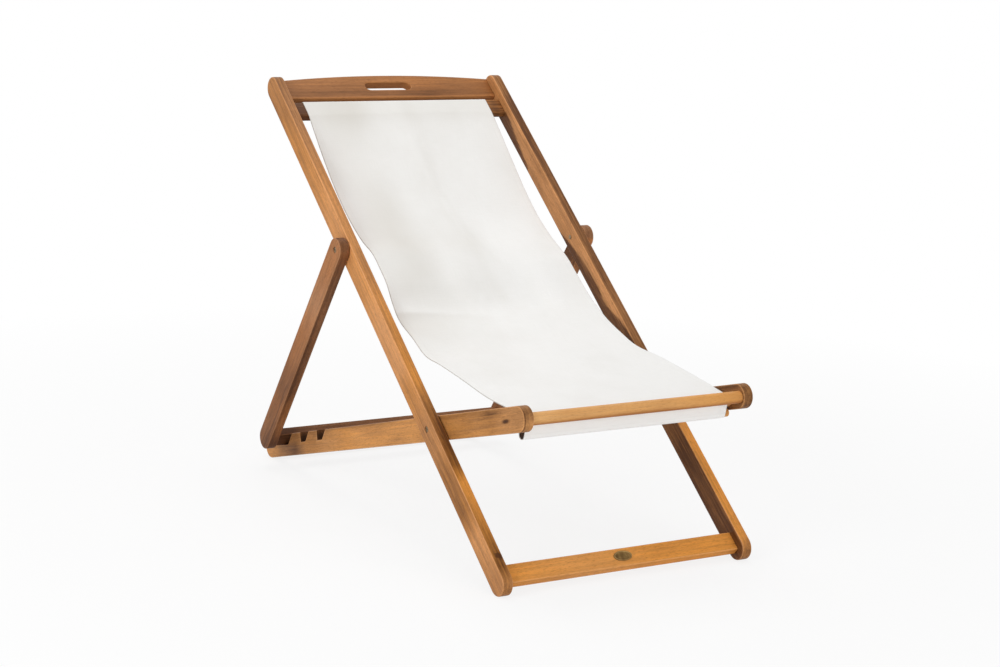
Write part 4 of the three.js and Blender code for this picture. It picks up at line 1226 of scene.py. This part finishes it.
def make_sling():
    """The canvas: a slab over the grid of (across, along), each point moved square to the sheet
    by half its thickness and by its folds; the side hems are two layers thick on the under face.
    Its points carry the painted shading of the folds, and the front hem is painted lighter."""
    cloth = settings().cloth
    left, right, lead = sling_lines()
    columns = np.concatenate((HEM_COLUMNS, INNER_COLUMNS, 2 * SLING_HALF - HEM_COLUMNS[::-1]))
    columns = columns[:, None]
    share = columns / (2 * SLING_HALF)
    line = left + share[..., None] * (right - left)
    ahead = np.gradient(line, axis=1)
    ahead /= np.linalg.norm(ahead, axis=-1, keepdims=True)
    under = joined(-ahead[..., 1], ahead[..., 0])
    steps = np.linalg.norm(np.diff(line, axis=1), axis=-1)
    run = np.concatenate((np.zeros((len(columns), 1)), np.cumsum(steps, axis=1)), axis=1)
    total = run[:, -1:]
    row = np.arange(line.shape[1])
    span = np.clip((row - lead) / SPAN_STEPS, 0, 1)[None]
    lift = fold_height(span, share, cloth.fold_depth)
    from_edge = np.minimum(columns, 2 * SLING_HALF - columns)
    in_hem = 1 - smooth_step(SIDE_HEM - 0.6 * MM, SIDE_HEM + 0.4 * MM, from_edge)
    hem_share = smooth_step(0.0, 0.03, span) * (1 - smooth_step(0.97, 1.0, span))
    half = SHEET_THICKNESS / 2 - EDGE_ROUNDING * ridge(from_edge, 0.6 * MM)
    beneath = line + under * (half + HEM_EXTRA * in_hem * hem_share - lift)[..., None]
    above = line - under * (half + lift)[..., None]
    x = columns - SLING_HALF + np.interp(run / total, (0, 1), SLING_OFFSETS)
    grid = np.concatenate([joined(x, face[..., 0], face[..., 1])[::order]
                           for face, order in ((beneath, 1), (above, -1))])
    rows, count = grid.shape[:2]
    faces = grid_faces(rows, count, closed_rows=True)
    wraps = faces.reshape(rows, count, 4)[:, :-1].reshape(-1, 4)
    strip = np.arange(len(columns) - 1)
    ends = [joined(strip * count + end, (strip + 1) * count + end,
                   (rows - 2 - strip) * count + end, (rows - 1 - strip) * count + end)
            for end in (0, count - 1)]
    piece = closed_mesh("sling_finished", grid, np.concatenate([wraps] + ends), 60, merged=False)

    def on_both(values):
        return np.concatenate((values, values[::-1]))
    along, length = on_both(run), on_both(total)
    place = joined(on_both(columns) - SLING_HALF, along, np.minimum(along, length - along))
    put_attribute(piece, "cloth", place.reshape(-1, 3))
    # Past the front turn the hem is painted lighter: painted light against the shade under the
    # front dowel
    past_front = row > lead + SPAN_STEPS + FRONT_TURN_STEPS
    stain = painted_fold_shading(span, share) + HEM_PAINTED_LIGHT_SHIFT * past_front
    put_attribute(piece, "stain", on_both(stain).ravel())
    piece.data.materials.append(material_once("canvas_weave", make_canvas, cloth))
    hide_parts("sling")
    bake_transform(piece)


# Stage

def seen_directly(shader):
    """1 for rays from the camera, from a reflection or through glass, otherwise 0."""
    rays = shader.node("LightPath").outputs
    passed_on = shader.math("MAXIMUM", rays["Is Glossy Ray"], rays["Is Transmission Ray"])
    return shader.math("MAXIMUM", rays["Is Camera Ray"], passed_on)


def make_stage():
    """A pale floor that takes a soft shadow, a white surround, three soft lights and the camera."""
    look = settings().stage
    make_floor(look)
    make_world(look.surround)
    for name, place, size, power in LIGHTS:
        make_light(name, place, size, getattr(look, power))
    make_camera()
    bpy.context.scene.view_settings.view_transform = "Standard"


def make_floor(look):
    """A flat square just under the feet. Seen directly it is mixed with white, less so round its
    middle, so that only a part of the shadow shows."""
    corners = ((-1, -1), (1, -1), (1, 1), (-1, 1))
    mesh = bpy.data.meshes.new("floor")
    mesh.from_pydata([(FLOOR_REACH * x, FLOOR_REACH * y, FLOOR_LEVEL) for x, y in corners], [],
                     [(0, 1, 2, 3)])
    put_in_scene("floor", mesh)
    shader = Shader(bpy.data.materials.new("pale_floor"))
    place = shader.node("TexCoord").outputs["Object"]
    speckle = shader.noise(place, (60, 60, 60), detail=3)
    pale = [FLOOR_SPECKLE * value for value in look.floor]
    shader.finish(Base_Color=shader.mix(speckle, (*look.floor, 1), pale), Roughness=0.95)
    glow = shader.node("Emission", Color=WHITE, Strength=1.0)
    distance = shader.node("VectorMath", {"operation": "LENGTH"}, _0=place).outputs["Value"]
    paling = shader.clamped(distance, *SHADOW_REACH, 1 - look.shadow, 1.0)
    blend = shader.node("MixShader", _0=shader.math("MULTIPLY", seen_directly(shader), paling),
                        _1=shader.surface.outputs[0], _2=glow.outputs[0])
    shader.put(shader.tree.nodes["Material Output"].inputs[0], blend.outputs[0])
    mesh.materials.append(shader.owner)


def make_world(surround):
    """White where it is seen directly or in a reflection, a plain level of grey elsewhere."""
    world = bpy.data.worlds.new("surround")
    bpy.context.scene.world = world
    shader = Shader(world, "Background")
    shader.finish(Color=WHITE, Strength=shader.clamped(seen_directly(shader), 0, 1, surround, 1))


def stand(name, data, axes, place):
    """Puts a light or a camera at a place, with its right, up and backward axes."""
    made = put_in_scene(name, data)
    matrix = np.vstack((np.column_stack((*axes, place)), (0, 0, 0, 1)))
    made.matrix_world = Matrix(matrix.tolist())
    return made


def make_light(name, place, size, power):
    """A square area light aimed at the middle of the chair."""
    data = bpy.data.lights.new(name, "AREA")
    data.size = size
    data.energy = power
    backward = np.array(place) - LIGHT_TARGET
    backward /= np.linalg.norm(backward)
    right = np.cross((0, 0, 1), backward)
    right /= np.linalg.norm(right)
    stand(name, data, (right, np.cross(backward, right), backward), place)


def make_camera():
    """The photograph's view: azimuth and tilt, then a small roll about the line of sight."""
    azimuth, tilt, roll = (math.radians(angle) for angle in CAMERA_ANGLES)
    ahead = np.array((math.sin(azimuth) * math.cos(tilt), math.cos(azimuth) * math.cos(tilt),
                      -math.sin(tilt)))
    level = np.array((math.cos(azimuth), -math.sin(azimuth), 0))
    upright = np.cross(level, ahead)
    right = math.cos(roll) * level + math.sin(roll) * upright
    up = math.cos(roll) * upright - math.sin(roll) * level
    data = bpy.data.cameras.new("camera")
    data.lens, data.sensor_width = CAMERA_LENS
    data.shift_x, data.shift_y = CAMERA_SHIFT
    bpy.context.scene.camera = stand("camera", data, (right, up, -ahead), CAMERA_PLACE)


# Operators

class DECK_CHAIR_OT_stage(Operator):
    """Makes the floor, the surround, the lights and the camera"""
    bl_idname = "deck_chair.stage"
    bl_label = "Stage"

    def execute(self, context):
        make_stage()
        return {"FINISHED"}


class DECK_CHAIR_OT_back_rails(Operator):
    """Makes the two long outer rails"""
    bl_idname = "deck_chair.back_rails"
    bl_label = "Back rails"

    def execute(self, context):
        make_back_rails()
        return {"FINISHED"}


class DECK_CHAIR_OT_seat_rails(Operator):
    """Makes the two notched inner rails"""
    bl_idname = "deck_chair.seat_rails"
    bl_label = "Seat rails"

    def execute(self, context):
        make_seat_rails()
        return {"FINISHED"}


class DECK_CHAIR_OT_prop_legs(Operator):
    """Makes the prop's two legs"""
    bl_idname = "deck_chair.prop_legs"
    bl_label = "Prop legs"

    def execute(self, context):
        make_prop_legs()
        return {"FINISHED"}


class DECK_CHAIR_OT_top_rail(Operator):
    """Makes the crowned top rail with its hand slot"""
    bl_idname = "deck_chair.top_rail"
    bl_label = "Top rail"

    def execute(self, context):
        make_top_rail()
        return {"FINISHED"}


class DECK_CHAIR_OT_flat_bars(Operator):
    """Makes the flat cross bars"""
    bl_idname = "deck_chair.flat_bars"
    bl_label = "Flat bars"

    def execute(self, context):
        make_cross_bars()
        return {"FINISHED"}


class DECK_CHAIR_OT_round_bars(Operator):
    """Makes the dowels and the hem rods"""
    bl_idname = "deck_chair.round_bars"
    bl_label = "Round bars"

    def execute(self, context):
        make_round_bars()
        return {"FINISHED"}


class DECK_CHAIR_OT_fasteners(Operator):
    """Makes the bolts and finishes the washers and nuts"""
    bl_idname = "deck_chair.fasteners"
    bl_label = "Fasteners"

    def execute(self, context):
        make_fasteners()
        return {"FINISHED"}


class DECK_CHAIR_OT_oval_plate(Operator):
    """Makes the bare oval plate"""
    bl_idname = "deck_chair.oval_plate"
    bl_label = "Oval plate"

    def execute(self, context):
        make_oval_plate()
        return {"FINISHED"}


class DECK_CHAIR_OT_sling(Operator):
    """Makes the canvas sling"""
    bl_idname = "deck_chair.sling"
    bl_label = "Sling"

    def execute(self, context):
        make_sling()
        return {"FINISHED"}


class DECK_CHAIR_PT_panel(Panel):
    """Lists the steps that build the chair."""
    bl_label = "Deck chair"
    bl_idname = "DECK_CHAIR_PT_panel"
    bl_space_type = "VIEW_3D"
    bl_region_type = "UI"
    bl_category = "Deck chair"

    def draw(self, context):
        for step in STEPS:
            self.layout.operator(step.bl_idname)


SETTINGS = (HoneyWood, GoldenWood, BrownWood, RedWood, PaleWood, SeatWood, ClothSettings,
            MetalSettings, RailSettings, StageSettings, DeckChairSettings)
STEPS = (DECK_CHAIR_OT_stage, DECK_CHAIR_OT_back_rails, DECK_CHAIR_OT_seat_rails,
         DECK_CHAIR_OT_prop_legs, DECK_CHAIR_OT_top_rail, DECK_CHAIR_OT_flat_bars,
         DECK_CHAIR_OT_round_bars, DECK_CHAIR_OT_fasteners, DECK_CHAIR_OT_oval_plate,
         DECK_CHAIR_OT_sling)


def register():
    for item in SETTINGS + STEPS + (DECK_CHAIR_PT_panel,):
        bpy.utils.register_class(item)
    bpy.types.Scene.deck_chair = PointerProperty(type=DeckChairSettings)


def unregister():
    del bpy.types.Scene.deck_chair
    for item in reversed(SETTINGS + STEPS + (DECK_CHAIR_PT_panel,)):
        bpy.utils.unregister_class(item)


def main():
    """Registers the classes and runs the steps in order."""
    register()
    bpy.ops.deck_chair.stage()
    bpy.ops.deck_chair.back_rails()
    bpy.ops.deck_chair.seat_rails()
    bpy.ops.deck_chair.prop_legs()
    bpy.ops.deck_chair.top_rail()
    bpy.ops.deck_chair.flat_bars()
    bpy.ops.deck_chair.round_bars()
    bpy.ops.deck_chair.fasteners()
    bpy.ops.deck_chair.oval_plate()
    bpy.ops.deck_chair.sling()


if __name__ == "__main__":
    main()
